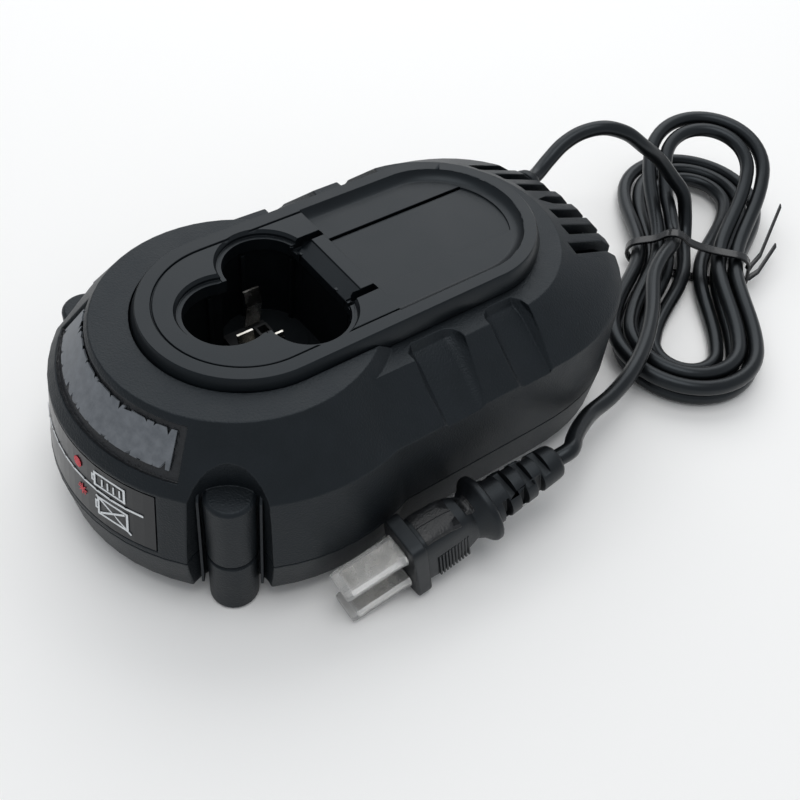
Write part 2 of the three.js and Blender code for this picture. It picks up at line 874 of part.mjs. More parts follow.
deck = deck.subtract(trefoil(0, height.ledge - cutMargin, above, 0));
deck = deck.subtract(trefoil(0, height.lobeChamferFoot, height.deckFront + gap, width.lobeChamfer));
[-1, 1].forEach((side) => {
  const x = side * width.notchX;
  deck = deck.subtract(
    block(
      x - width.notchHalf,
      x + width.notchHalf,
      noseY + width.notchFrontY,
      noseY + width.notchBackY,
      height.notch,
      above,
    ),
  );
});
addSolid('battery_deck', deck, deckBlack);

// Socket well and what stands in it.
const wellTop = height.ledge - gap / 2;
const well = trefoil(width.wellWall, height.wellBase, wellTop, 0).subtract(
  trefoil(0, height.wellFloor, above, 0),
);
addSolid('socket_well', well, black);

const post = {
  x: w(postShares.x),
  y: noseY + w(postShares.y),
  half: w(postShares.half),
  bore: w(postShares.bore),
};
let terminal = boxOf(blockShares, noseY, w);
const square = (half, low, high) => block(post.x - half, post.x + half, post.y - half, post.y + half, low, high);
terminal = terminal.add(square(post.half, h(blockShares.low), h(postShares.high)));
terminal = terminal.subtract(square(post.bore, h(postShares.boreFloor), above));
addSolid('terminal_block', terminal, black);

contactShares.forEach((share) => {
  const x = w(share.x);
  const y = noseY + w(share.y);
  const low = h(blockShares.high) + gap;
  const high = h(share.high);
  const bendZ = low + ((high - low) * 2) / 3;
  const profile = [
    [-contactHalfThickness, low],
    [contactHalfThickness, low],
    [contactHalfThickness + contactCrest, bendZ],
    [contactHalfThickness, high],
    [-contactHalfThickness, high],
    [-contactHalfThickness + contactCrest, bendZ],
  ];
  const rings = [-contactHalfWidth, contactHalfWidth].map((dy) =>
    profile.map(([dx, z]) => [x + dx, y + dy, z]),
  );
  addSolid(share.name, skin(rings, profile), copper);
});

// Badge plate and indicator label on the nose.
addSolid(
  'badge_plate',
  noseBand(
    profilePoint(badgeShares.plateTop),
    profilePoint(badgeShares.plateFoot),
    badgeShares.plateEdge,
    badgePlateDepth,
    badgePlateDepth + badgePlateThickness,
  ),
  satinGrey,
);
const labelEdgeGap = gap / noseRadius / degree;
addSolid(
  'indicator_label',
  noseBand(
    [wallRadius(labelTop[1] - gap), labelTop[1] - gap],
    [wallRadius(labelFoot[1] + gap), labelFoot[1] + gap],
    labelShares.edge - labelEdgeGap,
    labelProud,
    labelProud + labelThickness,
  ),
  deckBlack,
);

// Parts inside the case.
let board = boxOf(insideShares.board, insideFront, inside);
standoffs.forEach(([x, y]) => {
  board = board.subtract(rod(x, y, screwRadius, boardLow - gap, above, smallSteps / 2));
});
addSolid('circuit_board', board, boardGreen);
const coilHole = { ...insideShares.coil };
const core = boxOf(insideShares.core, insideFront, inside);
const coilSpace = block(
  w(coilHole.x) - w(coilHole.half) - gap,
  w(coilHole.x) + w(coilHole.half) + gap,
  insideFront + inside(coilHole.y - coilHole.reach) - cutMargin,
  insideFront + inside(coilHole.y + coilHole.reach) + cutMargin,
  h(coilHole.low) - gap,
  h(coilHole.high) + gap,
);
addSolid('transformer_core', core.subtract(coilSpace), steel);
addSolid('transformer_coil', boxOf(insideShares.coil, insideFront, inside), copper);
addSolid('heat_sink', boxOf(insideShares.sink, insideFront, inside), steel);
addSolid('power_transistor', boxOf(insideShares.chip, insideFront, inside), black);
addSolid('relay', boxOf(insideShares.relay, insideFront, inside), black);
addSolid('fuse_holder', boxOf(insideShares.fuse, insideFront, inside), clear);
capacitorShares.forEach((share) => {
  addSolid(
    share.name,
    rod(w(share.x), insideFront + inside(share.y), w(share.radius), h(share.low), h(share.high), smallSteps),
    black,
  );
});

// Screws and feet.
bosses.forEach(([x, y], i) => {
  const headLow = headTop - screwHeadHeight;
  const head = rod(x, y, screwHeadRadius, headLow - gap, headTop - gap, smallSteps);
  const shank = rod(x, y, screwRadius, headTop - gap * 2, height.screwTop, smallSteps);
  addSolid(`case_screw_${i + 1}`, head.add(shank), steel);
});
feet.forEach(([x, y], i) => {
  addSolid(`rubber_foot_${i + 1}`, rod(x, y, footRadius, 0, footTop, smallSteps), rubberBlack);
});

// Cord guard.
const guardProfile = [
  [-guardReach.inside, cordDiameter * guardShares.flange],
  [-guardReach.flangeIn, cordDiameter * guardShares.flange],
  [-guardReach.wallIn, guardRadius],
  [guardReach.collarIn, guardRadius],
  [guardReach.collarIn + gap, cordDiameter * guardShares.collar],
  [guardReach.collarOut, cordDiameter * guardShares.collar],
  [guardReach.tip, cordDiameter * guardShares.tip],
];
addSolid('cord_guard', alongAxis(guardBase, guardAxis, guardProfile, smallSteps), rubberBlack);

// Hank centreline, from the start inside the lower layer to the end inside the upper one.
const hankRun = b(hankRunShare);
const hankOrigin = point(hankCentre);
const hankAlong = new THREE.Vector3(Math.cos(hankHeading), Math.sin(hankHeading), 0);
const hankAcross = new THREE.Vector3(-Math.sin(hankHeading), Math.cos(hankHeading), 0);
const ease = (value) => {
  const a = Math.min(Math.max(value, 0), 1);
  return a * a * (3 - 2 * a);
};
const waist = (u) => (Math.abs(u) < hankRun ? Math.cos((Math.PI * u) / (2 * hankRun)) ** 2 : 0);
const runShare = runSteps / loopSteps;
function hankFlat(turn) {
  const k = turn < hankTurns ? turn : 2 * hankTurns - turn;
  const r = b(hankInnerShare) + hankPitch * k;
  const part = turn % 1;
  const bulge = (u) => r + (hankWaistPitch * k - b(hankPinchShare)) * waist(u);
  if (part < runShare) {
    const u = hankRun * (1 - (2 * part) / runShare);
    return [u, bulge(u)];
  }
  if (part < 1 / 2) {
    const angle = ((part - runShare) / (1 / 2 - runShare)) * Math.PI;
    return [-hankRun - r * Math.sin(angle), r * Math.cos(angle)];
  }
  if (part < 1 / 2 + runShare) {
    const u = hankRun * ((2 * (part - 1 / 2)) / runShare - 1);
    return [u, -bulge(u)];
  }
  const angle = ((part - 1 / 2 - runShare) / (1 / 2 - runShare)) * Math.PI;
  return [hankRun + r * Math.sin(angle), -r * Math.cos(angle)];
}
function onHank(u, v, z) {
  return hankOrigin.clone().addScaledVector(hankAlong, u).addScaledVector(hankAcross, v).setZ(z);
}
class HankPath extends THREE.Curve {
  getPoint(share) {
    const turn = hankFrom + (hankTo - hankFrom) * share;
    const [u, v] = hankFlat(turn);
    const layer = ease((turn - hankTurns) / runShare);
    const lift = b(hankLiftShares[0]) + (b(hankLiftShares[1]) - b(hankLiftShares[0])) * layer;
    const far = ease((u - b(hankLiftStart)) / b(hankLiftRun));
    return onHank(u, v, cordDiameter / 2 + hankLayer * layer + lift * far + hankRaise * waist(u));
  }
  getPointAt(share) {
    return this.getPoint(share);
  }
  getTangentAt(share) {
    return this.getTangent(share);
  }
}
function section(radius, sides) {
  return new THREE.Shape(
    circle(0, 0, radius, sides).map(([x, y]) => new THREE.Vector2(x, y)),
  );
}
function tube(path, steps, sides) {
  const geometry = new THREE.ExtrudeGeometry(section(cordDiameter / 2, sides), {
    steps,
    extrudePath: path,
    bevelEnabled: false,
    curveSegments: 1,
  });
  geometry.deleteAttribute('uv');
  geometry.deleteAttribute('normal');
  const merged = mergeVertices(geometry);
  merged.computeVertexNormals();
  return merged;
}
const hankPath = new HankPath();
const hankSteps = Math.round((hankTo - hankFrom) * loopSteps);
addMesh('cord_hank', tube(hankPath, hankSteps, hankSides), rubberBlack);

const hankPoints = hankPath.getSpacedPoints(hankSteps * pointsEach);
const pointStep = (hankTo - hankFrom) / (hankSteps * pointsEach);
const apart = Math.round(nearTurns / pointStep);
let least = Infinity;
hankPoints.forEach((p, i) => {
  for (let j = i + apart; j < hankPoints.length; j += 1) {
    least = Math.min(least, p.distanceTo(hankPoints[j]) - cordDiameter);
  }
});
console.log(`hank least gap ${least.toFixed(2)} mm, wanted over ${leastGap}`);

// Cord stretches, each straight for one diameter at both ends.
function stretch(start, startHeading, middle, end, endHeading) {
  const points = [
    start.clone().addScaledVector(startHeading, gap),
    start.clone().addScaledVector(startHeading, gap + cordDiameter),
    ...middle,
    end.clone().addScaledVector(endHeading, -gap - cordDiameter),
    end.clone().addScaledVector(endHeading, -gap),
  ];
  return new THREE.CatmullRomCurve3(points, false, 'centripetal');
}
const guardTip = guardBase.clone().addScaledVector(guardAxis, guardReach.tip);
const hankStart = hankPath.getPoint(0);
const hankStartHeading = hankPath.getTangent(0);
const hankEnd = hankPath.getPoint(1);
const hankEndHeading = hankPath.getTangent(1);
const toHank = stretch(guardTip, guardAxis, cordToHankPoints.map(point), hankStart, hankStartHeading);
addMesh('cord_to_hank', tube(toHank, cordSteps, cordSides), rubberBlack);

// Plug frame: across, along towards the cord, and up.
const plugAlong = new THREE.Vector3(
  Math.sin(plugYaw) * Math.cos(plugPitch),
  Math.cos(plugYaw) * Math.cos(plugPitch),
  Math.sin(plugPitch),
);
const plugAcross = new THREE.Vector3(Math.cos(plugYaw), -Math.sin(plugYaw), 0);
const plugUp = new THREE.Vector3().crossVectors(plugAcross, plugAlong);
const plugOrigin = point(plugPoint);
const onPlug = ([x, y, z]) =>
  plugOrigin
    .clone()
    .addScaledVector(plugAcross, x)
    .addScaledVector(plugAlong, y)
    .addScaledVector(plugUp, z)
    .toArray();

function roundBox(halfX, halfZ, power, steps) {
  return Array.from({ length: steps }, (_, i) => {
    const angle = ((i + 1 / 2) / steps) * Math.PI * 2;
    return [halfX * bend(Math.cos(angle), power), halfZ * bend(Math.sin(angle), power)];
  });
}
function plugLoft(stations, steps) {
  const rings = stations.map(([y, halfX, halfZ, power, shiftZ]) =>
    roundBox(halfX, halfZ, power, steps).map(([x, z]) => onPlug([x, y, z + shiftZ])),
  );
  return skin(rings, roundBox(1, 1, 2, steps));
}
function plugBlock(x0, x1, y0, y1, z0, z1) {
  const flat = [
    [x0, z0],
    [x1, z0],
    [x1, z1],
    [x0, z1],
  ];
  return skin(
    [y0, y1].map((y) => flat.map(([x, z]) => onPlug([x, y, z]))),
    flat,
  );
}
const plateHalfX = bladeWidth * plateHalfShares.across;
const plateHalfZ = bladeWidth * plateHalfShares.up;
let plug = plugLoft(
  [
    [0, plateHalfX - gap, plateHalfZ - gap, sleeveSquare, 0],
    [gap, plateHalfX, plateHalfZ, plateSquare, 0],
    [plateDepth - gap, plateHalfX, plateHalfZ, plateSquare, 0],
    [plateDepth, plateHalfX - gap, plateHalfZ - gap, plateSquare, 0],
  ],
  smallSteps * 2,
);
plug = plug.add(
  plugLoft(
    plugStationShares.map(([y, x, z]) => [
      plugReach * y,
      plugReach * x,
      plugReach * z,
      y < roundFromShare ? plugSquare : roundSquare,
      0,
    ]),
    smallSteps * 2,
  ),
);
reliefSlotShares.forEach((share) => {
  const y = plugReach * share;
  const wide = noseRadius;
  [-1, 1].forEach((side) => {
    const x = [side * reliefCore, side * wide].sort((p, q) => p - q);
    plug = plug.subtract(
      plugBlock(x[0], x[1], y - reliefSlotHalf, y + reliefSlotHalf, -reliefSlotReach, reliefSlotReach),
    );
    const later = y + reliefStagger;
    plug = plug.subtract(
      plugBlock(
        -reliefSlotReach,
        reliefSlotReach,
        later - reliefSlotHalf,
        later + reliefSlotHalf,
        x[0],
        x[1],
      ),
    );
  });
});
const bladeHalfX = bladeWidth / 2;
const bladeHalfZ = bladeThickness / 2;
const sleeveHalfX = (bladeWidth * sleeveShares.across) / 2;
const sleeveHalfZ = (bladeThickness * sleeveShares.up) / 2;
const sleeveReach = bladeReach * sleeveShares.reach;
['upper', 'lower'].forEach((name, i) => {
  const z = (i === 0 ? 1 : -1) * (bladeSpacing / 2);
  const slotX = bladeHalfX + gap;
  const slotZ = bladeHalfZ + gap;
  plug = plug.subtract(plugBlock(-slotX, slotX, -gap, plugSlotDepth, z - slotZ, z + slotZ));
  addSolid(
    `plug_blade_${name}`,
    plugBlock(-bladeHalfX, bladeHalfX, -bladeReach, plugSlotDepth - gap, z - bladeHalfZ, z + bladeHalfZ),
    steel,
  );
  const outside = plugLoft(
    [
      [-sleeveReach, sleeveHalfX * sleeveShares.tipAcross, sleeveHalfZ * sleeveShares.tipUp, sleeveSquare, z],
      [-sleeveReach + sleeveTipDepth, sleeveHalfX, sleeveHalfZ, sleeveSquare, z],
      [-sleeveFlareDepth, sleeveHalfX, sleeveHalfZ, sleeveSquare, z],
      [-gap, sleeveHalfX + sleeveFlare, sleeveHalfZ + sleeveFlare, sleeveSquare, z],
    ],
    sleeveSteps * 2,
  );
  const inside = plugBlock(
    -bladeHalfX - gap,
    bladeHalfX + gap,
    -bladeReach * sleeveShares.bore,
    gap,
    z - bladeHalfZ - gap,
    z + bladeHalfZ + gap,
  );
  addSolid(`blade_sleeve_${name}`, outside.subtract(inside), clear);
});
addSolid('plug_body', plug, rubberBlack);

const reliefTip = new THREE.Vector3(...onPlug([0, plugReach, 0]));
const toPlug = stretch(
  hankEnd,
  hankEndHeading,
  cordToPlugPoints.map(point),
  reliefTip,
  plugAlong.clone().negate(),
);
addMesh('cord_to_plug', tube(toPlug, cordSteps, cordSides), rubberBlack);

// Tie round the waist of the hank.
const tieLoop = new THREE.CatmullRomCurve3(
  tieShares.map(([v, z]) => new THREE.Vector3(0, v * cordDiameter, z * cordDiameter)),
  true,
  'centripetal',
);
const tieRings = Array.from({ length: tieSteps }, (_, i) => {
  const share = i / tieSteps;
  const spot = tieLoop.getPoint(share);
  const heading = tieLoop.getTangent(share);
  const out = new THREE.Vector3(0, heading.z, -heading.y);
  return [
    [-tieWidth / 2, 0],
    [tieWidth / 2, 0],
    [tieWidth / 2, 1],
    [-tieWidth / 2, 1],
  ].map(([u, side]) => {
    const edge = spot.clone().addScaledVector(out, (side - 1 / 2) * tieThickness);
    return onHank(u, edge.y, edge.z).toArray();
  });
});
let tie = loopSkin(tieRings);
tieEndShares.forEach((ends) => {
  const flat = [
    [-tieEndHalf, -tieEndThickness],
    [tieEndHalf, -tieEndThickness],
    [tieEndHalf, tieEndThickness],
    [-tieEndHalf, tieEndThickness],
  ];
  const rings = ends.map((end) => {
    const [u, v, z] = end.map((share) => share * cordDiameter);
    return flat.map(([du, dv]) => onHank(u + du, v + dv, z + dv / 2).toArray());
  });
  tie = tie.add(skin(rings, flat));
});
addSolid('cord_tie', tie, rubberBlack);

export default group;
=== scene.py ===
import math
import random

import bmesh
import bpy
from mathutils import Matrix, Vector


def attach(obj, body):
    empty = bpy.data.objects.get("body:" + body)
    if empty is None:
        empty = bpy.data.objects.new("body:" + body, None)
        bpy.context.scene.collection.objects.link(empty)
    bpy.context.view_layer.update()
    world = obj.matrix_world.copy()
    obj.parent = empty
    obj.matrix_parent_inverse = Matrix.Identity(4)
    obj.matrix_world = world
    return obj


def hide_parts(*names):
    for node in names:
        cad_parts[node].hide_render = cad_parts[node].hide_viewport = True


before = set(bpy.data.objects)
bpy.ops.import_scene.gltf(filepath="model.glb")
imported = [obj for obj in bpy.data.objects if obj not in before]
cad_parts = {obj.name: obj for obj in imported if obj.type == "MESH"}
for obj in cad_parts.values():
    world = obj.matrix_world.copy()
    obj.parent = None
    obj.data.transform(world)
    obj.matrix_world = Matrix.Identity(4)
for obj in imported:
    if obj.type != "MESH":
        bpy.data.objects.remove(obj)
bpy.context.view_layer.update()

MM = 0.001
scene = bpy.context.scene
scene.view_settings.view_transform = "Standard"
BODY = "charger"


# Camera, at the photograph's place. The numbers are millimetres and degrees in the part's own frame.

CAMERA_PLACE = Vector((188.86, -143.36, 265.48)) * MM
CAMERA_AZIMUTH = math.radians(48.18)
CAMERA_HEIGHT = math.radians(47.61)
CAMERA_ROLL = math.radians(6.9)
FOCAL_PIXELS = 1073.84
FRAME_PIXELS = 800


def axes_matrix(origin, x, y, z):
    """Puts an object at origin with its own axes along x, y and z."""
    return Matrix.Translation(origin) @ Matrix((x, y, z)).transposed().to_4x4()


def make_camera():
    back = Vector((
        math.sin(CAMERA_AZIMUTH) * math.cos(CAMERA_HEIGHT),
        -math.cos(CAMERA_AZIMUTH) * math.cos(CAMERA_HEIGHT),
        math.sin(CAMERA_HEIGHT),
    ))
    level = Vector((math.cos(CAMERA_AZIMUTH), math.sin(CAMERA_AZIMUTH), 0))
    up = back.cross(level)
    right = level * math.cos(CAMERA_ROLL) + up * math.sin(CAMERA_ROLL)
    up = back.cross(right)
    data = bpy.data.cameras.new("camera")
    data.lens = FOCAL_PIXELS / FRAME_PIXELS * data.sensor_width
    data.clip_start = 0.01
    data.clip_end = 20
    camera = bpy.data.objects.new("camera", data)
    camera.matrix_world = axes_matrix(CAMERA_PLACE, right, up, back)
    scene.collection.objects.link(camera)
    scene.camera = camera


make_camera()


# Materials.


def linear(hex_colour):
    """An sRGB hex colour as linear red, green and blue."""
    values = [int(hex_colour[i:i + 2], 16) / 255 for i in (1, 3, 5)]
    return [v / 12.92 if v <= 0.04045 else ((v + 0.055) / 1.055) ** 2.4 for v in values]


def add_node(tree, kind, links=(), inputs=(), **settings):
    """Adds a node, sets its settings and inputs, and links (input, source node, output) to it."""
    node = tree.nodes.new(kind)
    for name, value in settings.items():
        setattr(node, name, value)
    for name, value in dict(inputs).items():
        node.inputs[name].default_value = value
    for name, source, output in links:
        tree.links.new(source.outputs[output], node.inputs[name])
    return node


def new_material(name, colour, roughness, metallic=0.0, ior=1.5, **more):
    material = bpy.data.materials.new(name)
    material.use_nodes = True
    tree = material.node_tree
    shader = tree.nodes["Principled BSDF"]
    shader.inputs["Base Color"].default_value = (*linear(colour), 1)
    shader.inputs["Roughness"].default_value = roughness
    shader.inputs["Metallic"].default_value = metallic
    shader.inputs["IOR"].default_value = ior
    for key, value in more.items():
        shader.inputs[key.replace("_", " ")].default_value = value
    return material, tree, shader


def add_grain(tree, shader, grain_mm, depth_mm, detail=2.0):
    """Bump from noise whose grains are grain_mm across and depth_mm deep."""
    place = add_node(tree, "ShaderNodeTexCoord")
    noise = add_node(tree, "ShaderNodeTexNoise", [("Vector", place, "Object")],
                     {"Scale": 1 / (grain_mm * MM), "Detail": detail, "Roughness": 0.6})
    bump = add_node(tree, "ShaderNodeBump", [("Height", noise, "Fac")],
                    {"Distance": depth_mm * MM, "Strength": 1.0})
    tree.links.new(bump.outputs["Normal"], shader.inputs["Normal"])
    return place, bump


def add_patches(tree, shader, place, light, dark, patch_mm, rough_low, rough_high):
    """Slow changes of colour and roughness, patch_mm across."""
    cloud = add_node(tree, "ShaderNodeTexNoise", [("Vector", place, "Object")],
                     {"Scale": 1 / (patch_mm * MM), "Detail": 4.0, "Roughness": 0.55})
    ramp = add_node(tree, "ShaderNodeValToRGB", [("Fac", cloud, "Fac")])
    ramp.color_ramp.elements[0].position = 0.32
    ramp.color_ramp.elements[0].color = (*linear(dark), 1)
    ramp.color_ramp.elements[1].position = 0.68
    ramp.color_ramp.elements[1].color = (*linear(light), 1)
    tree.links.new(ramp.outputs["Color"], shader.inputs["Base Color"])
    rough = add_node(tree, "ShaderNodeMapRange", [("Value", cloud, "Fac")],
                     {"From Min": 0.3, "From Max": 0.7, "To Min": rough_low, "To Max": rough_high})
    tree.links.new(rough.outputs["Result"], shader.inputs["Roughness"])


def add_lines(tree, shader, place, bump, scale, direction, depth_mm, strength, **waves):
    """Parallel lines over the grain, depth_mm deep, that repeat every 314 / scale millimetres."""
    lines = add_node(tree, "ShaderNodeTexWave", [("Vector", place, "Object")],
                     {"Scale": scale, **waves}, bands_direction=direction)
    relief = add_node(tree, "ShaderNodeBump", [("Height", lines, "Fac"), ("Normal", bump, "Normal")],
                      {"Distance": depth_mm * MM, "Strength": strength})
    tree.links.new(relief.outputs["Normal"], shader.inputs["Normal"])


# The black plastics here mirror light a little cooler than it falls on them.
COOL = (0.84, 0.93, 1.0, 1.0)


# ABS moulded in a spark-eroded tool: a fine even grain that breaks up the reflections.
def make_case_abs():
    material, tree, shader = new_material(
        "abs_spark_grain_black", "#0e1216", roughness=0.45, Specular_IOR_Level=0.32, Specular_Tint=COOL)
    place, _ = add_grain(tree, shader, grain_mm=0.55, depth_mm=0.13, detail=1.0)
    add_patches(tree, shader, place, "#101418", "#0c1013", patch_mm=9.0, rough_low=0.42, rough_high=0.49)
    return material


# The same ABS from a smoother part of the tool: the deck slides against the battery.
def make_deck_abs():
    material, tree, shader = new_material(
        "abs_smooth_black", "#0c1013", roughness=0.36, Specular_IOR_Level=0.3, Specular_Tint=COOL)
    place, _ = add_grain(tree, shader, grain_mm=0.6, depth_mm=0.016)
    add_patches(tree, shader, place, "#0e1215", "#0a0d10", patch_mm=14.0, rough_low=0.33, rough_high=0.4)
    return material


# Soft PVC drawn over the conductors: satin, with slow waves along it from the extruder.
def make_cord_pvc():
    material, tree, shader = new_material(
        "pvc_cord_black", "#090c0f", roughness=0.3, Specular_IOR_Level=0.4, Specular_Tint=COOL)
    place, _ = add_grain(tree, shader, grain_mm=1.8, depth_mm=0.03, detail=3.0)
    add_patches(tree, shader, place, "#0d0f11", "#090a0b", patch_mm=20.0, rough_low=0.27, rough_high=0.36)
    return material


# PVC moulded over the blades: duller than the cord, with a fine grain.
def make_plug_pvc():
    material, tree, shader = new_material(
        "pvc_moulded_black", "#0d1114", roughness=0.4, Specular_IOR_Level=0.38, Specular_Tint=COOL)
    place, _ = add_grain(tree, shader, grain_mm=0.5, depth_mm=0.045)
    add_patches(tree, shader, place, "#101214", "#0c0d0f", patch_mm=6.0, rough_low=0.38, rough_high=0.48)
    return material


# The plug's PVC where the mould was etched coarsely for grip: grains about 0.6 mm wide that glint.
def make_coarse_pvc():
    material, tree, shader = new_material(
        "pvc_etched_black", "#131517", roughness=0.4, Specular_IOR_Level=0.5)
    place, _ = add_grain(tree, shader, grain_mm=0.62, depth_mm=0.16, detail=1.0)
    add_patches(tree, shader, place, "#191b1d", "#0e0f11", patch_mm=1.4, rough_low=0.34, rough_high=0.5)
    return material


# Screen-printing ink on film: matt, with a faint mesh of its screen.
def make_ink(name, colour):
    material, tree, shader = new_material(name, colour, roughness=0.55, Specular_IOR_Level=0.4)
    add_grain(tree, shader, grain_mm=0.3, depth_mm=0.01)
    return material


# The pocket's ABS, matt like unpolished plastic. Its colour and its reflection are darkened below the case's
# as painted shade for the deep pocket.
def make_pocket_abs_painted_shade():
    material, tree, shader = new_material(
        "abs_black_painted_shade", "#090c0e", roughness=0.55, Specular_IOR_Level=0.2, Specular_Tint=COOL)
    place, _ = add_grain(tree, shader, grain_mm=0.4, depth_mm=0.03)
    add_patches(tree, shader, place, "#0b0e10", "#07090b", patch_mm=6.0, rough_low=0.5, rough_high=0.6)
    return material


# Ribbon of PVC drawn flat over a soft wire, as on a twist tie: glossy, with faint creases.
def make_tie_film():
    material, tree, shader = new_material(
        "pvc_ribbon_black", "#0c0e11", roughness=0.2, Specular_IOR_Level=0.5)
    place, _ = add_grain(tree, shader, grain_mm=2.6, depth_mm=0.09)
    add_patches(tree, shader, place, "#0e1013", "#0a0b0d", patch_mm=5.0, rough_low=0.16, rough_high=0.28)
    return material


# Aluminium foil plate with a satin grey lacquer, scuffed: soft patches and a fine tooth.
def make_badge_lacquer():
    material, tree, shader = new_material(
        "satin_grey_lacquer", "#62666b", roughness=0.46, Specular_IOR_Level=0.45)
    place, _ = add_grain(tree, shader, grain_mm=0.4, depth_mm=0.035)
    add_patches(tree, shader, place, "#6a6e73", "#585c61", patch_mm=2.4, rough_low=0.4, rough_high=0.52)
    return material


# ABS etched deep inside the badge's border, so that the grains catch the light one by one.
def make_border_abs():
    material, tree, shader = new_material(
        "abs_etched_black", "#15181b", roughness=0.38, Specular_IOR_Level=0.55)
    place, _ = add_grain(tree, shader, grain_mm=0.7, depth_mm=0.2, detail=1.0)
    add_patches(tree, shader, place, "#1b1e22", "#0e1013", patch_mm=1.2, rough_low=0.3, rough_high=0.5)
    return material


# Printed polyester film over the lamps: smooth and slightly wavy where it is glued down.
def make_label_film():
    material, tree, shader = new_material(
        "polyester_film_dark", "#111418", roughness=0.3, Specular_IOR_Level=0.4)
    place, _ = add_grain(tree, shader, grain_mm=3.0, depth_mm=0.02)
    add_patches(tree, shader, place, "#13161a", "#0f1215", patch_mm=7.0, rough_low=0.27, rough_high=0.34)
    return material


# Brass strip, nickel-plated after stamping: bright, with rolling lines along it.
def make_plated_brass(name, colour, along):
    material, tree, shader = new_material(name, colour, roughness=0.24, metallic=1.0)
    place, bump = add_grain(tree, shader, grain_mm=0.3, depth_mm=0.004)
    add_patches(tree, shader, place, colour, "#a7a49c", patch_mm=3.0, rough_low=0.2, rough_high=0.32)
    add_lines(tree, shader, place, bump, 700.0, along, depth_mm=0.003, strength=0.6,
              Distortion=2.0, Detail=2.0)
    return material


# Stamped sheets of silicon steel, half a millimetre thick, stacked and varnished: dark seams, a brown tinge.
def make_core_steel():
    material, tree, shader = new_material("silicon_steel_stack", "#6d6a66", roughness=0.42, metallic=1.0)
    place, bump = add_grain(tree, shader, grain_mm=0.6, depth_mm=0.01)
    add_patches(tree, shader, place, "#77736d", "#4e4a45", patch_mm=4.0, rough_low=0.34, rough_high=0.5)
    add_lines(tree, shader, place, bump, 628.0, "Y", depth_mm=0.06, strength=1.0)
    return material


# Copper wire, a third of a millimetre thick, wound in layers: the enamel gives it a red-brown gloss.
def make_coil_copper():
    material, tree, shader = new_material(
        "enamelled_copper_wire", "#9c4a26", roughness=0.3, metallic=0.6, Coat_Weight=0.5)
    place, bump = add_grain(tree, shader, grain_mm=1.0, depth_mm=0.02)
    add_patches(tree, shader, place, "#a8532c", "#7c3517", patch_mm=3.0, rough_low=0.24, rough_high=0.36)
    add_lines(tree, shader, place, bump, 900.0, "Z", depth_mm=0.12, strength=1.0)
    return material


# Extruded aluminium, left bare: fine die lines along it and a dull skin of oxide.
def make_sink_aluminium():
    material, tree, shader = new_material("extruded_aluminium", "#b4b7ba", roughness=0.4, metallic=1.0)
    place, bump = add_grain(tree, shader, grain_mm=0.5, depth_mm=0.006)
    add_patches(tree, shader, place, "#bcbfc1", "#a3a6a9", patch_mm=5.0, rough_low=0.34, rough_high=0.46)
    add_lines(tree, shader, place, bump, 520.0, "X", depth_mm=0.006, strength=0.8, Distortion=1.0)
    return material


# Mild steel screws, zinc-plated and passivated: a bluish grey with a faint straw tint.
def make_screw_zinc():
    material, tree, shader = new_material("zinc_plated_steel", "#a9adb0", roughness=0.32, metallic=1.0)
    place, _ = add_grain(tree, shader, grain_mm=0.35, depth_mm=0.006)
    add_patches(tree, shader, place, "#b3b6b8", "#97968c", patch_mm=2.0, rough_low=0.27, rough_high=0.4)
    return material


# Glass cloth in epoxy under green solder resist: the weave shows as a soft grid.
def make_board_laminate():
    material, tree, shader = new_material("glass_epoxy_green", "#23523a", roughness=0.38)
    place, bump = add_grain(tree, shader, grain_mm=0.9, depth_mm=0.012)
    add_patches(tree, shader, place, "#29603f", "#1d4731", patch_mm=6.0, rough_low=0.33, rough_high=0.45)
    add_lines(tree, shader, place, bump, 420.0, "X", depth_mm=0.01, strength=0.6)
    return material


# Plain mouldings: a base colour with slow patches and a fine skin from the tool. Each names its material.
def make_moulding(name, light, dark, roughness, grain_mm, depth_mm, **more):
    material, tree, shader = new_material(name, light, roughness, **more)
    place, _ = add_grain(tree, shader, grain_mm, depth_mm)
    add_patches(tree, shader, place, light, dark, 5.0, roughness - 0.04, roughness + 0.06)
    return material


# Low-density polythene, dip-formed: milky, clear enough to show the blade, with ripples from cooling.
def make_sleeve_polythene():
    material, tree, shader = new_material(
        "clear_polythene", "#f6f6f5", roughness=0.2, ior=1.45,
        Transmission_Weight=0.8, Specular_IOR_Level=0.6)
    place, _ = add_grain(tree, shader, grain_mm=3.0, depth_mm=0.015)
    add_patches(tree, shader, place, "#fafaf9", "#f0efed", patch_mm=6.0, rough_low=0.18, rough_high=0.28)
    return material


case_abs = make_case_abs()
tie_film = make_tie_film()
badge_paint = make_badge_lacquer()
border_abs = make_border_abs()
label_film = make_label_film()
blade_brass = make_plated_brass("nickel_plated_brass", "#c9c6bf", "Y")
contact_nickel = make_plated_brass("nickel_plated_bronze", "#cfccc6", "Z")
core_steel = make_core_steel()
coil_copper = make_coil_copper()
sink_aluminium = make_sink_aluminium()
screw_zinc = make_screw_zinc()
board_laminate = make_board_laminate()
sleeve_polythene = make_sleeve_polythene()
# Glass-filled polyester, stiff and slightly streaky.
block_pbt = make_moulding(
    "glass_filled_polyester_black", "#121416", "#0d0e10", roughness=0.46, grain_mm=0.6, depth_mm=0.03)
relay_pbt = make_moulding(
    "polyester_dark_grey", "#1d2023", "#16181a", roughness=0.4, grain_mm=0.5, depth_mm=0.015)
# Nylon, a little waxy.
fuse_nylon = make_moulding(
    "nylon_black", "#141517", "#0f1011", roughness=0.36, grain_mm=0.7, depth_mm=0.02)
# Epoxy filled with silica, moulded round the die: dead matt.
epoxy = make_moulding(
    "silica_epoxy_black", "#17181a", "#111213", roughness=0.62, grain_mm=0.3, depth_mm=0.02)
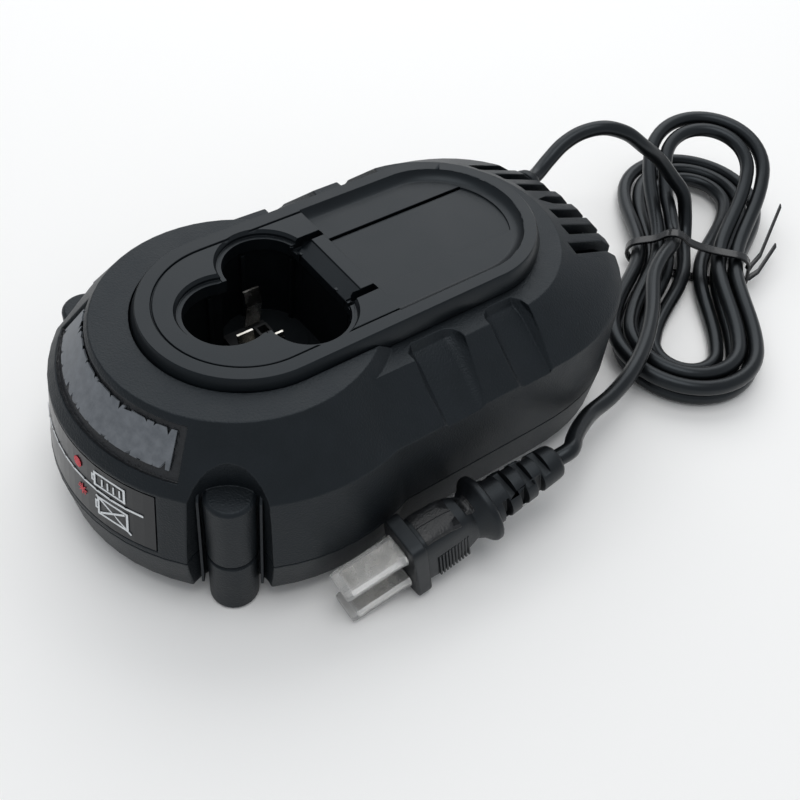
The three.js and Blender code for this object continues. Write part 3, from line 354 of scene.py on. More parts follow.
# Shrunk polyester tube over an aluminium can: smooth and glossy.
capacitor_sleeve = make_moulding(
    "shrunk_polyester_sleeve", "#151a2c", "#101423", roughness=0.24,
    grain_mm=2.0, depth_mm=0.01, Coat_Weight=0.3)
# Vulcanised rubber, dusty with bloom.
foot_rubber = make_moulding(
    "rubber_black", "#151515", "#0e0e0e", roughness=0.72,
    grain_mm=0.8, depth_mm=0.05, Specular_IOR_Level=0.3)
# Painted shade: the socket's pocket gets a darker black than the case, standing in for the shade deep inside
# it.
pocket_abs_painted_shade = make_pocket_abs_painted_shade()
deck_abs = make_deck_abs()
cord_pvc = make_cord_pvc()
coarse_pvc = make_coarse_pvc()
ink_white = make_ink("screen_ink_white", "#dfe2e4")
ink_red = make_ink("screen_ink_red", "#c8414b")
plug_pvc = make_plug_pvc()


# Cord. Its points are those of the part, in metres.


def points_mm(*rows):
    return [Vector(row) * MM for row in rows]


CORD_DIAMETER = 5.4 * MM
CORD_GAP = 0.3 * MM
HANK_CENTRE = Vector((16.2, 149.6, 0)) * MM
HANK_HEADING = math.radians(131)
HANK_RUN = 43 * MM
HANK_INNER = 9 * MM
HANK_PITCH = CORD_DIAMETER + 0.8 * MM
HANK_WAIST_PITCH = 0.3 * MM
HANK_PINCH = 8.2 * MM
HANK_LAYER = CORD_DIAMETER + 0.75 * MM
HANK_RAISE = 1.8 * MM
HANK_LIFT = (3 * MM, 22 * MM)
HANK_LIFT_START = -5 * MM
HANK_LIFT_RUN = 80 * MM
HANK_TURNS = 3
HANK_FROM = 0.0915
HANK_TO = 5.03
HANK_STEPS = 474
LEAD_STEPS = 10
RUN_SHARE = 5 / 24
GUARD_BASE = Vector((-21.3, 89.48, 40.5)) * MM
GUARD_AXIS = Vector((-0.33, 0.944, 0)).normalized()
GUARD_LENGTH_MM = 5.7
GUARD_TIP = GUARD_BASE + GUARD_AXIS * GUARD_LENGTH_MM * MM
PLUG_PLACE = Vector((65.6, -25.35, 12.62)) * MM
PLUG_YAW = math.radians(2.5)
PLUG_PITCH = math.radians(11.3)
PLUG_ALONG = Vector((
    math.sin(PLUG_YAW) * math.cos(PLUG_PITCH),
    math.cos(PLUG_YAW) * math.cos(PLUG_PITCH),
    math.sin(PLUG_PITCH),
))
PLUG_ACROSS = Vector((math.cos(PLUG_YAW), -math.sin(PLUG_YAW), 0))
PLUG_UP = PLUG_ACROSS.cross(PLUG_ALONG)
PLUG_LENGTH_MM = 55.3
RELIEF_TIP = PLUG_PLACE + PLUG_ALONG * PLUG_LENGTH_MM * MM
TO_HANK = points_mm(
    (-26.9, 106.85, 43.0), (-28.0, 114.15, 46.4), (-27.3, 121.85, 49.0), (-24.2, 129.85, 50.2),
    (-19.7, 137.55, 48.0), (-15.9, 144.55, 42.4), (-13.9, 153.65, 34.6), (-10.1, 159.75, 26.8),
    (-5.5, 164.05, 19.9), (-1.8, 164.25, 12.6), (2.2, 161.85, 7.4),
)
TO_PLUG = points_mm(
    (-3.0, 156.15, 14.9), (4.4, 150.65, 13.4), (9.5, 144.85, 14.9), (12.8, 138.05, 16.7),
    (15.8, 130.75, 17.5), (20.8, 121.75, 17.4), (34.2, 106.95, 17.0), (44.3, 92.95, 17.6),
    (51.4, 79.25, 17.8), (55.2, 66.25, 17.0), (57.4, 54.95, 18.0), (61.0, 46.35, 20.6), (64.7, 39.65, 23.0),
)


def ease(value):
    """A soft step from 0 to 1."""
    a = min(max(value, 0.0), 1.0)
    return a * a * (3 - 2 * a)


def waist(u):
    """How much of the tie's pinch is felt at a place along the hank."""
    return math.cos(math.pi * u / (2 * HANK_RUN)) ** 2 if abs(u) < HANK_RUN else 0.0


def hank_flat(turn):
    """Place along and across the hank, for a number of turns from its inner end."""
    k = turn if turn < HANK_TURNS else 2 * HANK_TURNS - turn
    r = HANK_INNER + HANK_PITCH * k
    part = turn % 1.0

    def bulge(u):
        return r + (HANK_WAIST_PITCH * k - HANK_PINCH) * waist(u)

    if part < RUN_SHARE:
        u = HANK_RUN * (1 - 2 * part / RUN_SHARE)
        return u, bulge(u)
    if part < 0.5:
        angle = (part - RUN_SHARE) / (0.5 - RUN_SHARE) * math.pi
        return -HANK_RUN - r * math.sin(angle), r * math.cos(angle)
    if part < 0.5 + RUN_SHARE:
        u = HANK_RUN * (2 * (part - 0.5) / RUN_SHARE - 1)
        return u, -bulge(u)
    angle = (part - 0.5 - RUN_SHARE) / (0.5 - RUN_SHARE) * math.pi
    return HANK_RUN + r * math.sin(angle), -r * math.cos(angle)


def on_hank(u, v, z):
    along = Vector((math.cos(HANK_HEADING), math.sin(HANK_HEADING), 0))
    across = Vector((-math.sin(HANK_HEADING), math.cos(HANK_HEADING), 0))
    return HANK_CENTRE + along * u + across * v + Vector((0, 0, z))


def hank_point(turn):
    u, v = hank_flat(turn)
    layer = ease((turn - HANK_TURNS) / RUN_SHARE)
    lift = HANK_LIFT[0] + (HANK_LIFT[1] - HANK_LIFT[0]) * layer
    z = CORD_DIAMETER / 2 + HANK_LAYER * layer + lift * ease((u - HANK_LIFT_START) / HANK_LIFT_RUN)
    return on_hank(u, v, z + HANK_RAISE * waist(u))


def smooth_line(points, steps):
    """Centripetal curve through the points, steps to a stretch."""
    out = []
    for i in range(len(points) - 1):
        p1, p2 = points[i], points[i + 1]
        p0 = points[i - 1] if i else p1 * 2 - p2
        p3 = points[i + 2] if i + 2 < len(points) else p2 * 2 - p1
        d = [max((b - a).length ** 0.5, 1e-6) for a, b in ((p0, p1), (p1, p2), (p2, p3))]
        m1 = ((p1 - p0) / d[0] - (p2 - p0) / (d[0] + d[1]) + (p2 - p1) / d[1]) * d[1]
        m2 = ((p2 - p1) / d[1] - (p3 - p1) / (d[1] + d[2]) + (p3 - p2) / d[2]) * d[1]
        for s in range(steps):
            t = s / steps
            out.append(
                p1 * (2 * t ** 3 - 3 * t ** 2 + 1) + m1 * (t ** 3 - 2 * t ** 2 + t)
                + p2 * (3 * t ** 2 - 2 * t ** 3) + m2 * (t ** 3 - t ** 2)
            )
    return out + [points[-1]]


def cord_route():
    """The whole cord, from the guard through the hank to the plug."""
    turns = [HANK_FROM + (HANK_TO - HANK_FROM) * i / HANK_STEPS for i in range(HANK_STEPS + 1)]
    hank = [hank_point(t) for t in turns]
    into = (hank[1] - hank[0]).normalized()
    out = (hank[-1] - hank[-2]).normalized()
    straight = CORD_GAP + CORD_DIAMETER
    to_hank = [GUARD_TIP, GUARD_TIP + GUARD_AXIS * straight, *TO_HANK, hank[0] - into * straight]
    to_plug = [hank[-1] + out * straight, *TO_PLUG, RELIEF_TIP + PLUG_ALONG * straight, RELIEF_TIP]
    return smooth_line(to_hank, LEAD_STEPS) + hank + smooth_line(to_plug, LEAD_STEPS)


def line_length(points):
    return sum((b - a).length for a, b in zip(points, points[1:]))


def make_cord():
    route = cord_route()
    data = bpy.data.curves.new("mains_cord", "CURVE")
    data.dimensions = "3D"
    data.bevel_depth = CORD_DIAMETER / 2
    data.bevel_resolution = 5
    data.use_fill_caps = True
    spline = data.splines.new("POLY")
    spline.points.add(len(route) - 1)
    for point, place in zip(spline.points, route):
        point.co = (*place, 1)
    spline.use_smooth = True
    cord = bpy.data.objects.new("mains_cord", data)
    scene.collection.objects.link(cord)
    data.materials.append(cord_pvc)
    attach(cord, BODY)
    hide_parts("cord_to_hank", "cord_hank", "cord_to_plug")
    return cord, line_length(route)


mains_cord, cord_length = make_cord()


# Making pieces.


def only(obj):
    """Selects obj alone and makes it active."""
    bpy.ops.object.select_all(action="DESELECT")
    obj.select_set(True)
    bpy.context.view_layer.objects.active = obj


def apply_modifiers(obj):
    only(obj)
    for modifier in list(obj.modifiers):
        bpy.ops.object.modifier_apply(modifier=modifier.name)


def break_edges(obj, edge_mm, limit=28, segments=2):
    """Rounds the edges sharper than limit by a small radius."""
    bevel = obj.modifiers.new("edges", "BEVEL")
    bevel.width = edge_mm * MM
    bevel.segments = segments
    bevel.limit_method = "ANGLE"
    bevel.angle_limit = math.radians(limit)
    bevel.use_clamp_overlap = False
    bevel.loop_slide = False
    apply_modifiers(obj)


def finish_piece(obj, name, material, body=BODY, replaced=(), smooth=32):
    """Names and shades a piece, ties it to its body, and hides the CAD nodes that it replaces."""
    obj.name = name
    obj.data.name = name
    only(obj)
    bake_place(obj)
    bpy.ops.object.shade_smooth_by_angle(angle=math.radians(smooth))
    weigh = obj.modifiers.new("flat_faces", "WEIGHTED_NORMAL")
    weigh.keep_sharp = True
    apply_modifiers(obj)
    obj.data.materials.clear()
    obj.data.materials.append(material)
    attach(obj, body)
    if replaced:
        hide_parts(*replaced)
    return obj


def bake_place(obj):
    """Works the selected object's place, turn and scale into its mesh."""
    bpy.ops.object.transform_apply(location=True, rotation=True, scale=True)
    return obj


def add_round(x, y, radius, low, high, sides=48):
    """An upright round blank, in millimetres."""
    bpy.ops.object.select_all(action="DESELECT")
    bpy.ops.mesh.primitive_cylinder_add(
        vertices=sides, radius=radius * MM, depth=(high - low) * MM,
        location=(x * MM, y * MM, (low + high) / 2 * MM))
    return bake_place(bpy.context.object)


def add_block(x, y, z):
    """A square blank between the millimetre ranges x, y and z."""
    bpy.ops.object.select_all(action="DESELECT")
    bpy.ops.mesh.primitive_cube_add(
        size=MM,
        location=[(low + high) / 2 * MM for low, high in (x, y, z)],
        scale=[high - low for low, high in (x, y, z)])
    return bake_place(bpy.context.object)


def edit(obj):
    only(obj)
    bpy.ops.object.mode_set(mode="EDIT")
    bpy.ops.mesh.select_all(action="DESELECT")


def done():
    bpy.ops.object.mode_set(mode="OBJECT")


def pick(obj, kind, test):
    """In edit mode, selects the vertices, edges or faces whose middle in millimetres passes the test."""
    bpy.ops.mesh.select_mode(type=kind)
    bpy.ops.mesh.select_all(action="DESELECT")
    mesh = bmesh.from_edit_mesh(obj.data)
    if kind == "VERT":
        for vert in mesh.verts:
            vert.select_set(test(vert.co / MM))
    elif kind == "EDGE":
        for edge in mesh.edges:
            if test(*[v.co / MM for v in edge.verts]):
                edge.select_set(True)
    else:
        for face in mesh.faces:
            if test(face.calc_center_median() / MM, face.normal):
                face.select_set(True)
    bmesh.update_edit_mesh(obj.data)


def slice_off(obj, place, away):
    """Cuts obj at a plane and drops the side that away points to."""
    edit(obj)
    bpy.ops.mesh.select_all(action="SELECT")
    bpy.ops.mesh.bisect(plane_co=[v * MM for v in place], plane_no=away, use_fill=True, clear_outer=True)
    done()
    return obj


def combine(obj, others, operation="DIFFERENCE"):
    """Cuts the other blanks out of obj, or joins them to it."""
    for other in others:
        step = obj.modifiers.new("combine", "BOOLEAN")
        step.operation = operation
        step.solver = "EXACT"
        step.object = other
        apply_modifiers(obj)
        bpy.data.objects.remove(other)
    return obj


def join(blanks):
    """Makes one object of several blanks."""
    only(blanks[0])
    for blank in blanks[1:]:
        blank.select_set(True)
    bpy.ops.object.join()
    return blanks[0]


def around(middle, half):
    """The range that reaches half to each side of the middle."""
    return middle - half, middle + half


def copy_node(node):
    """A merged copy of a CAD node, to cut a piece from."""
    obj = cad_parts[node].copy()
    obj.data = obj.data.copy()
    for key in list(obj.keys()):
        del obj[key]
    obj.parent = None
    obj.matrix_world = Matrix.Identity(4)
    scene.collection.objects.link(obj)
    obj.hide_viewport = obj.hide_render = False
    obj.hide_set(False)
    edit(obj)
    bpy.ops.mesh.select_all(action="SELECT")
    bpy.ops.mesh.remove_doubles(threshold=2e-6)
    bpy.ops.mesh.dissolve_limited(angle_limit=math.radians(0.6))
    done()
    return obj


def moulded_from(node, name, material, edge_mm, body=BODY, segments=2, smooth=32, limit=28, cuts=()):
    """A copy of a CAD node with blanks cut out and its edges broken by a small radius, as a moulding has."""
    obj = copy_node(node)
    combine(obj, cuts)
    break_edges(obj, edge_mm, limit, segments)
    return finish_piece(obj, name, material, body, (node,), smooth)


def repaint(node, material):
    """A new finish on a CAD node that keeps its shape."""
    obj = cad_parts[node]
    obj.data.materials.clear()
    obj.data.materials.append(material)


# From here on, bare sizes are millimetres. The nose and rear centres lie on the long axis.
NOSE = -35.25
RUN = 68.3
REAR = NOSE + RUN
# The front columns: out from the long axis, and ahead of the nose centre.
COLUMN_SIDE = 40.8
COLUMN_AHEAD = 29.6
RING_OUTER = 7.4
RING_INNER = 6.3


def column_rings(low, high):
    """Blanks that widen the parting line round the front columns."""
    rings = []
    for side in (-1, 1):
        ring = add_round(side * COLUMN_SIDE, NOSE - COLUMN_AHEAD, RING_OUTER, low, high)
        hole = add_round(side * COLUMN_SIDE, NOSE - COLUMN_AHEAD, RING_INNER, low - 1, high + 1)
        rings.append(combine(ring, [hole]))
    return rings


upper = moulded_from("upper_case", "case_top", case_abs, 0.35, cuts=column_rings(19.0, 20.5))
moulded_from("lower_case", "case_base", case_abs, 0.4, cuts=column_rings(19.3, 21.0))


# Battery deck. Across sizes are from the long axis, along sizes from the nose centre.

LOBES = ((0, NOSE - 5.2, 13.8), (11.6, NOSE + 13.4, 13.4), (-11.6, NOSE + 13.4, 13.4))
TONGUE = NOSE + 26.9
TRAY_START = NOSE + 34.6
TRAY = 61.7
RIM_RADIUS = 30.7
TRAY_RADIUS = 25.6
TRAY_CORNER = 3.4
# The rim's profile, inwards from its outer edge: each step is a width and a rise.
RIM_STEPS = ((1.1, 2.9), (0.5, 0.5), (4.0, 0.0), (0.12, -0.75), (0.35, 0.0), (0.12, 0.6))
LIP = 1.5
SLOT_SIDE = 13.7
SLOT_HALF = 1.25
TONGUE_HALF = 12.45
TONGUE_DROP = 3.4


def add_racetrack(radius, low, high, sides=96):
    """A racetrack-shaped blank round the nose centre and the rear centre."""
    obj = add_round(0, NOSE, radius, low, high, sides)
    edit(obj)
    pick(obj, "VERT", lambda co: co.y > NOSE + 0.01)
    bpy.ops.transform.translate(value=(0, RUN * MM, 0))
    done()
    return obj


def trefoil_blanks(grow, low, high, flare=0.0):
    """Blanks for the socket's three lobes and the straight back between them."""
    blanks = [add_block((-11.6, 11.6), (NOSE - 5.2, TONGUE + grow), (low, high))]
    for i, (x, y, radius) in enumerate(LOBES):
        # Each is a hair taller than the last, so that no two end in the same plane.
        extra = 0.01 * (i + 1)
        lobe = add_round(x, y, radius + grow, low - extra, high + extra, 72)
        if flare:
            wider = (radius + grow + flare) / (radius + grow)
            edit(lobe)
            pick(lobe, "FACE", lambda co, normal: normal.z > 0.9)
            bpy.ops.transform.resize(value=[wider, wider, 1], center_override=(x * MM, y * MM, high * MM))
            done()
        blanks.append(lobe)
    return blanks


def in_racetrack(x, start, z, radius):
    """A block that runs back from start and ends as the racetrack does."""
    block = add_block(x, (start, REAR + 40), z)
    return combine(block, [add_racetrack(radius, 60, 67)], "INTERSECT")


def make_deck():
    """The racetrack rim, its sunk tray with a channel and a line, and the opening for the battery."""
    deck = add_racetrack(RIM_RADIUS, 58.3, 61.0)
    edit(deck)
    pick(deck, "FACE", lambda co, normal: normal.z > 0.9)
    for width, rise in RIM_STEPS:
        bpy.ops.mesh.inset(thickness=width * MM, depth=rise * MM)
    done()

    def on_tray_floor(a, b):
        return max(a.z, b.z) < TRAY + 0.01 and (a.y + b.y) / 2 > TRAY_START + 0.1

    tray = slice_off(add_racetrack(TRAY_RADIUS, TRAY, 66.0), (0, TRAY_START, TRAY), (0, -1, 0))
    edit(tray)
    pick(tray, "EDGE", on_tray_floor)
    bpy.ops.mesh.bevel(offset=TRAY_CORNER * MM, segments=6, profile=0.42)
    done()
    channel = in_racetrack((-12.2, 12.2), NOSE + 36.4, (61.1, 66), 21.7)
    line = in_racetrack((-12.6, -12.1), NOSE + 36.2, (60.4, 66.1), 21.8)
    combine(deck, [tray, channel, line])

    # The opening inside the lip, the step above the lip and the flare at the top.
    combine(deck, trefoil_blanks(-LIP, 50, 70))
    combine(deck, trefoil_blanks(0, 62.4, 71))
    combine(deck, trefoil_blanks(0, 63.3, 64.6, flare=0.9))

    # A slot on each side of the tongue, and the tongue's slope down to the socket.
    slots = [
        add_block(around(x, SLOT_HALF), (TONGUE - 3, TRAY_START), (60.6, 70))
        for x in (-SLOT_SIDE, SLOT_SIDE)
    ]
    slope = add_block((-TONGUE_HALF, TONGUE_HALF), (TONGUE - 4, TONGUE + 3.3), (63.75, 66))
    edit(slope)
    pick(slope, "VERT", lambda co: co.z < 64 and co.y < TONGUE)
    bpy.ops.transform.translate(value=(0, 0, -TONGUE_DROP * MM))
    done()
    combine(deck, slots + [slope])
    break_edges(deck, 0.22, limit=62)
    return finish_piece(deck, "battery_deck_moulding", deck_abs, replaced=("battery_deck",))


make_deck()

WELL_WALL = 1.6
WELL_FOOT = 31.0
WELL_FLOOR = 33.0
WELL_TOP = 57.8
WELL_RIB_HALF = 0.7
WELL_RIBS = (
    (-16.3, NOSE - 8.4), (-13.4, NOSE - 3.6), (-24.2, NOSE + 13.7), (16.3, NOSE - 8.4),
    (24.2, NOSE + 13.7), (-15.6, NOSE + 25.6), (15.6, NOSE + 25.6),
)
# Each key's place, and its turn in degrees.
LIP_KEYS = (
    (-17.0, NOSE - 8.8, 30), (-14.2, NOSE - 7.6, 20), (-14.6, NOSE - 3.6, -40), (-24.6, NOSE + 13.7, 0),
    (-15.4, NOSE + 25.2, 70), (-11.0, NOSE + 26.2, 0), (6.8, NOSE + 26.2, 0), (12.9, NOSE + 26.0, 0),
)


def make_well():
    """The pocket under the deck: three-lobed, with a floor and ribs on its wall."""
    outside = trefoil_blanks(WELL_WALL, WELL_FOOT, WELL_TOP)
    well = combine(outside[0], outside[1:], "UNION")
    combine(well, trefoil_blanks(0, WELL_FLOOR, 70))
    half = WELL_RIB_HALF
    ribs = [add_block(around(x, half), around(y, half), (32.9, 57.0)) for x, y in WELL_RIBS]
    combine(well, ribs, "UNION")
    break_edges(well, 0.2, limit=62)
    # The pocket's darker finish is painted shade.
    return finish_piece(well, "socket_well_moulding", pocket_abs_painted_shade, replaced=("socket_well",))


def make_lip_keys():
    """Small keys that hang from the deck's lip into the socket."""
    keys = []
    for x, y, turn in LIP_KEYS:
        key = add_block(around(x, 0.55), around(y, 0.8), (58.9, 61.9))
        edit(key)
        bpy.ops.mesh.select_all(action="SELECT")
        bpy.ops.transform.rotate(
            value=math.radians(-turn), orient_axis="Z", center_override=(x * MM, y * MM, 60 * MM))
        done()
        keys.append(key)
    first = combine(keys[0], keys[1:], "UNION")
    break_edges(first, 0.15, limit=50)
    return finish_piece(first, "socket_lip_keys", deck_abs)


make_well()
make_lip_keys()
guard = moulded_from("cord_guard", "cord_guard_moulding", plug_pvc, 0.3)


# Plug, in its own frame: across, along and up from the front of its plate.

PANEL = (7.9, 19.4)
PANEL_HEIGHT = (-8.3, 2.5)
RELIEF_SLOTS = (33.2, 39.4, 45.6)
RELIEF_SLOT_HALF = 4.9
PAD_RISE = 0.22
# Each pad's range across and its range along: two halves beside the seam, and one by the collar.
PADS = (((-5.4, -0.12), (6.0, 17.4)), ((0.12, 5.4), (6.0, 17.4)), ((-3.2, 3.2), (20.6, 23.6)))
GRIP_RIBS = 10
GRIP_PITCH = 1.12


def into_frame(obj, origin, across, along, up):
    """Turns and moves a blank into a frame of its own."""
    only(obj)
    obj.matrix_world = axes_matrix(origin, across, along, up)
    return bake_place(obj)


def plug_block(x, y, z):
    """A block in the plug's own frame."""
    return into_frame(add_block(x, y, z), PLUG_PLACE, PLUG_ACROSS, PLUG_ALONG, PLUG_UP)


def plug_cuts():
    """Sunk grip panels on both broad sides and wide slots in the relief."""
    cuts = []
    for side in (-1, 1):
        cuts.append(plug_block(sorted((side * 6.4, side * 7.3)), PANEL, PANEL_HEIGHT))
    across = (-RELIEF_SLOT_HALF, RELIEF_SLOT_HALF)
    for y in RELIEF_SLOTS:
        for side in (-1, 1):
            span = sorted((side * 3.5, side * 12))
            cuts.append(plug_block(span, around(y, 1.25), across))
            cuts.append(plug_block(across, (y + 1.85, y + 4.35), span))
    return cuts


plug = moulded_from("plug_body", "plug_moulding", plug_pvc, 0.3, cuts=plug_cuts())


def make_plug_pads():
    """Coarse pads on the plug's narrow face, with the mould's seam left bare between them."""
    pads = []
    for x, y in PADS:
        pad = copy_node("plug_body")
        edit(pad)
        bpy.ops.mesh.select_all(action="SELECT")
        bpy.ops.transform.shrink_fatten(value=PAD_RISE * MM)
        done()
        combine(pad, [plug_block(x, y, (5.5, 14))], "INTERSECT")
        pads.append(pad)
    first = combine(pads[0], pads[1:], "UNION")
    return finish_piece(first, "plug_grain_pads", coarse_pvc)


def make_grip_ribs():
    """A row of fine upright ribs in each sunk panel, shorter and lower towards the collar."""
    ribs = []
    for side in (-1, 1):
        for i in range(GRIP_RIBS):
            y = 8.35 + GRIP_PITCH * i
            outer = 6.98 - 0.045 * i
            x = sorted((side * 5.6, side * outer))
            height = (PANEL_HEIGHT[0] + 0.02 * i, PANEL_HEIGHT[1] - 0.02 * i)
            ribs.append(plug_block(x, (y, y + 0.6), height))
    first = join(ribs)
    break_edges(first, 0.12, limit=60)
    return finish_piece(first, "plug_grip_ribs", plug_pvc)


tie = moulded_from("cord_tie", "cord_tie_ribbon", tie_film, 0.32, segments=3, smooth=55, limit=40)
plug_pads = make_plug_pads()
grip_ribs = make_grip_ribs()


# Fins beside the front columns. Out is away from the nose centre, aside is round it.
COLUMN = Vector((COLUMN_SIDE, NOSE - COLUMN_AHEAD, 0))
COLUMN_OUT = Vector((COLUMN_SIDE, -COLUMN_AHEAD, 0)).normalized()
FIN_ASIDE = 8.1
FIN_HALF = 0.4
FIN_OUT = (-3.0, 3.4)
FIN_HEIGHT = (8.2, 46.5)


def make_column_fins():
    """Thin upright fins in the recess, on both sides of each front column."""
    fins = []
    for side in (-1, 1):
        out = Vector((side * COLUMN_OUT.x, COLUMN_OUT.y, 0))
        along = Vector((-out.y, out.x, 0))
        centre = Vector((side * COLUMN.x, COLUMN.y, 0)) * MM
        for step in (-FIN_ASIDE, FIN_ASIDE):
            fin = add_block(FIN_OUT, around(step, FIN_HALF), FIN_HEIGHT)
            edit(fin)
            pick(fin, "VERT", lambda co: co.z > 40 and co.x > 0)
            bpy.ops.transform.translate(value=(-1.6 * MM, 0, -4.0 * MM))
            done()
            fins.append(into_frame(fin, centre, out, along, Vector((0, 0, 1))))
    first = join(fins)
    break_edges(first, 0.18, limit=50)
    return finish_piece(first, "column_fins", case_abs)


make_column_fins()


# Badge: a plain worn plate in a coarse border.

NOTCH_SEED = 4
NOTCH_SIZES = (0.45, 0.7, 1.0, 1.5)
# Degrees round the nose centre from one notch to the next, at least and at most.
NOTCH_SPACING = (2.2, 8.0)
# The slope round the nose: a radius and a height, at its upper and at its lower edge.
SLOPE_UPPER = (43.1, 59.65)
SLOPE_LOWER = (52.1, 47.5)
RECESS_HALF_ANGLE = 39.8


def make_badge():
    """The plate with ragged notches along its edges."""
    spots = [v.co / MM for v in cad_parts["badge_plate"].data.vertices]
    radii = [math.hypot(s.x, s.y - NOSE) for s in spots]
    angles = [math.degrees(math.atan2(s.y - NOSE, s.x)) for s in spots]
    foot, top = min(s.z for s in spots), max(s.z for s in spots)
    dice = random.Random(NOTCH_SEED)
    wedges = []
    for radius in (min(radii), max(radii)):
        angle = min(angles) + 1.2
        while angle < max(angles) - 1:
            size = dice.choice(NOTCH_SIZES)
            a = math.radians(angle)
            x = radius * math.cos(a)
            y = NOSE + radius * math.sin(a)
            wedge = add_round(x, y, size, foot - 2, top + 2, 3)
            edit(wedge)
            bpy.ops.mesh.select_all(action="SELECT")
            bpy.ops.transform.rotate(
                value=dice.uniform(0, 6), orient_axis="Z", center_override=(x * MM, y * MM, 0))
            done()
            wedges.append(wedge)
            angle += dice.uniform(*NOTCH_SPACING)
    return moulded_from("badge_plate", "badge_plate_worn", badge_paint, 0.08, limit=50, cuts=wedges)


make_badge()


def in_badge(co, normal):
    """Whether a face is on the recess floor: sunk about a millimetre or more below the slope."""
    radius = math.hypot(co.x, co.y - NOSE)
    angle = math.degrees(math.atan2(co.y - NOSE, co.x)) + 90
    (near, height), (far, foot) = SLOPE_UPPER, SLOPE_LOWER
    slope = height + (radius - near) * (foot - height) / (far - near)
    within = abs(angle) < RECESS_HALF_ANGLE and 41.5 < radius < 52.6
    return within and 0.9 < slope - co.z < 3.4 and normal.z > 0.3


def etch_badge_border():
    """Gives the floor of the badge's recess its coarse grain."""
    upper.data.materials.append(border_abs)
    edit(upper)
    pick(upper, "FACE", in_badge)
    upper.active_material_index = 1
    bpy.ops.object.material_slot_assign()
    done()


etch_badge_border()


# Printed marks on the indicator label, as thin films of ink: plain line icons.
# Each place is an angle round the nose centre in degrees, and a height.

# The label's face: its radius at one height, and how far it leans in over a rise from there.
FACE_RADIUS = 57.4
FACE_HEIGHT = 19.9
FACE_LEAN = 2.7
FACE_RISE = 24.1
INK_OFF = 0.16


def label_radius(z):
    """The radius of the label's face at a height, with a hair for the ink."""
    return FACE_RADIUS - FACE_LEAN * (z - FACE_HEIGHT) / FACE_RISE + INK_OFF


def on_label(angle, z):
    a = math.radians(angle)
    r = label_radius(z)
    return Vector((r * math.cos(a), NOSE + r * math.sin(a), z)) * MM


def add_stroke(first, last, width):
    """A straight stroke of ink between two places on the label, each an angle and a height."""
    a, b = on_label(*first), on_label(*last)
    along = (b - a).normalized()
    angle = math.radians((first[0] + last[0]) / 2)
    out = Vector((math.cos(angle), math.sin(angle), 0))
    across = out.cross(along).normalized()
    length = (b - a).length / MM
    stroke = add_block((-width / 2, length + width / 2), (-width / 2, width / 2), (-0.12, 0.04))
    return into_frame(stroke, a, along, across, along.cross(across))


def add_ink(name, strokes, ink):
    """One piece from strokes, each a width and the places that it runs through."""
    blanks = []
    for width, *places in strokes:
        for first, last in zip(places, places[1:]):
            blanks.append(add_stroke(first, last, width))
    return finish_piece(join(blanks), name, ink)


def icon(left, right, top, foot):
    """A lying battery with its pole at the left."""
    middle = (top + foot) / 2
    pole = (top - foot) * 0.22
    tip = left - 1.0
    return [
        (0.65, (left, top), (right, top), (right, foot), (left, foot), (left, top)),
        (0.5, (left, middle + pole), (tip, middle + pole), (tip, middle - pole), (left, middle - pole)),
    ]


def star(angle, z, reach, strokes, width):
    """Strokes that cross at one spot: many broad ones fill a dot."""
    out = []
    for i in range(strokes):
        turn = math.radians(180 / strokes * i)
        aside = reach * math.cos(turn)
        up = reach * math.sin(turn)
        out.append((width, (angle + aside, z + up), (angle - aside, z - up)))
    return out


WHITE_STROKES = [
    (0.7, *[(-112 + 5.2 * i, 34.0) for i in range(11)]),
    *icon(-76.3, -65.6, 40.5, 36.0),
    *[(0.45, (-73.4 + 2.1 * i, 39.3), (-73.4 + 2.1 * i, 37.2)) for i in range(4)],
    *icon(-75.2, -64.9, 31.7, 25.4),
    (0.65, (-75.8, 31.9), (-64.0, 24.6)),
    (0.65, (-74.2, 26.2), (-66.0, 30.9)),
]
RED_STROKES = [
    *star(-84, 38.4, reach=1.3, strokes=6, width=0.75),
    *star(-82.2, 29.3, reach=1.7, strokes=4, width=0.4),
]
add_ink("label_white_ink", WHITE_STROKES, ink_white)
add_ink("label_red_ink", RED_STROKES, ink_red)


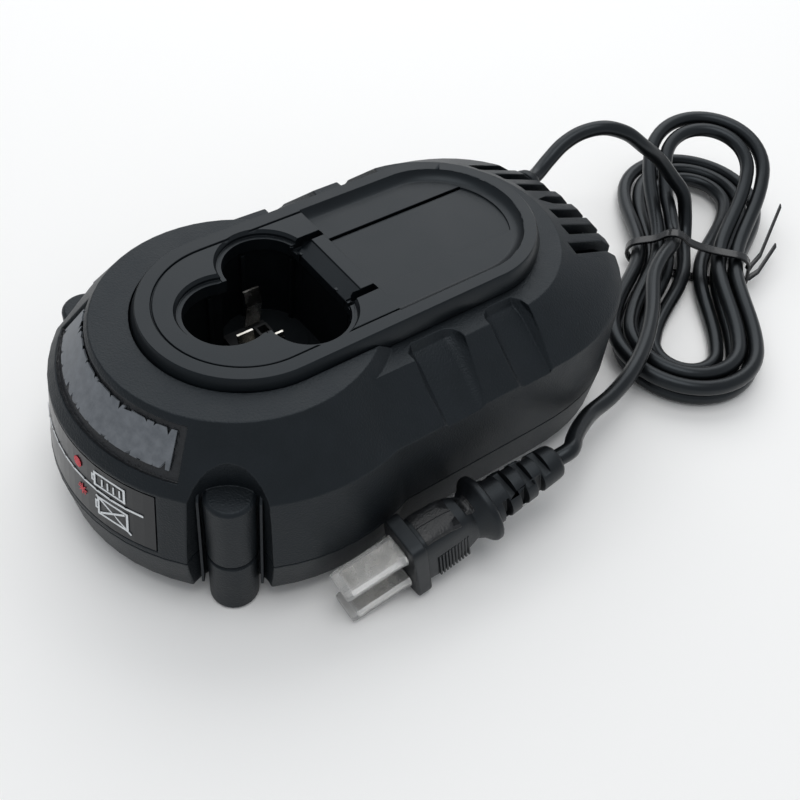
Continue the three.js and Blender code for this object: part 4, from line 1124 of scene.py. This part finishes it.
# Finishes of the part's own nodes.

FINISHES = {
    "terminal_block": block_pbt, "contact_left": contact_nickel, "contact_middle": contact_nickel,
    "contact_front": contact_nickel, "indicator_label": label_film, "circuit_board": board_laminate,
    "transformer_core": core_steel, "transformer_coil": coil_copper, "heat_sink": sink_aluminium,
    "power_transistor": epoxy, "relay": relay_pbt, "fuse_holder": fuse_nylon,
    "capacitor_large": capacitor_sleeve, "capacitor_small": capacitor_sleeve,
    "plug_blade_upper": blade_brass, "plug_blade_lower": blade_brass,
    "blade_sleeve_upper": sleeve_polythene, "blade_sleeve_lower": sleeve_polythene,
}
for node, material in FINISHES.items():
    repaint(node, material)
for i in range(1, 5):
    repaint(f"case_screw_{i}", screw_zinc)
    repaint(f"rubber_foot_{i}", foot_rubber)


# Floor and light.


def make_floor():
    """A plain pale sheet, a hair below the part so that they don't share a face."""
    bpy.ops.object.select_all(action="DESELECT")
    bpy.ops.mesh.primitive_plane_add(size=4, location=(0, 0, -0.0002))
    floor = bpy.context.object
    floor.name = "floor"
    material, _, _ = new_material("white_paper", "#faf9f7", roughness=0.85)
    floor.data.materials.append(material)


def add_softbox(name, place_mm, aim_mm, size_mm, watts):
    data = bpy.data.lights.new(name, "AREA")
    data.shape = "RECTANGLE"
    data.size = size_mm[0] * MM
    data.size_y = size_mm[1] * MM
    data.energy = watts
    lamp = bpy.data.objects.new(name, data)
    place = Vector(place_mm) * MM
    aim = Vector(aim_mm) * MM
    turn = (aim - place).to_track_quat("-Z", "Y").to_matrix().to_4x4()
    lamp.matrix_world = Matrix.Translation(place) @ turn
    scene.collection.objects.link(lamp)


make_floor()
add_softbox("key_from_back_left", (-620, 420, 760), (0, 0, 20), (1200, 900), 4.8)
add_softbox("top_light", (150, -100, 1300), (0, 0, 20), (800, 800), 5.0)

world = bpy.data.worlds.new("studio")
scene.world = world
world.use_nodes = True
background = world.node_tree.nodes["Background"]
background.inputs["Color"].default_value = (*linear("#edf1f6"), 1)
background.inputs["Strength"].default_value = 0.58
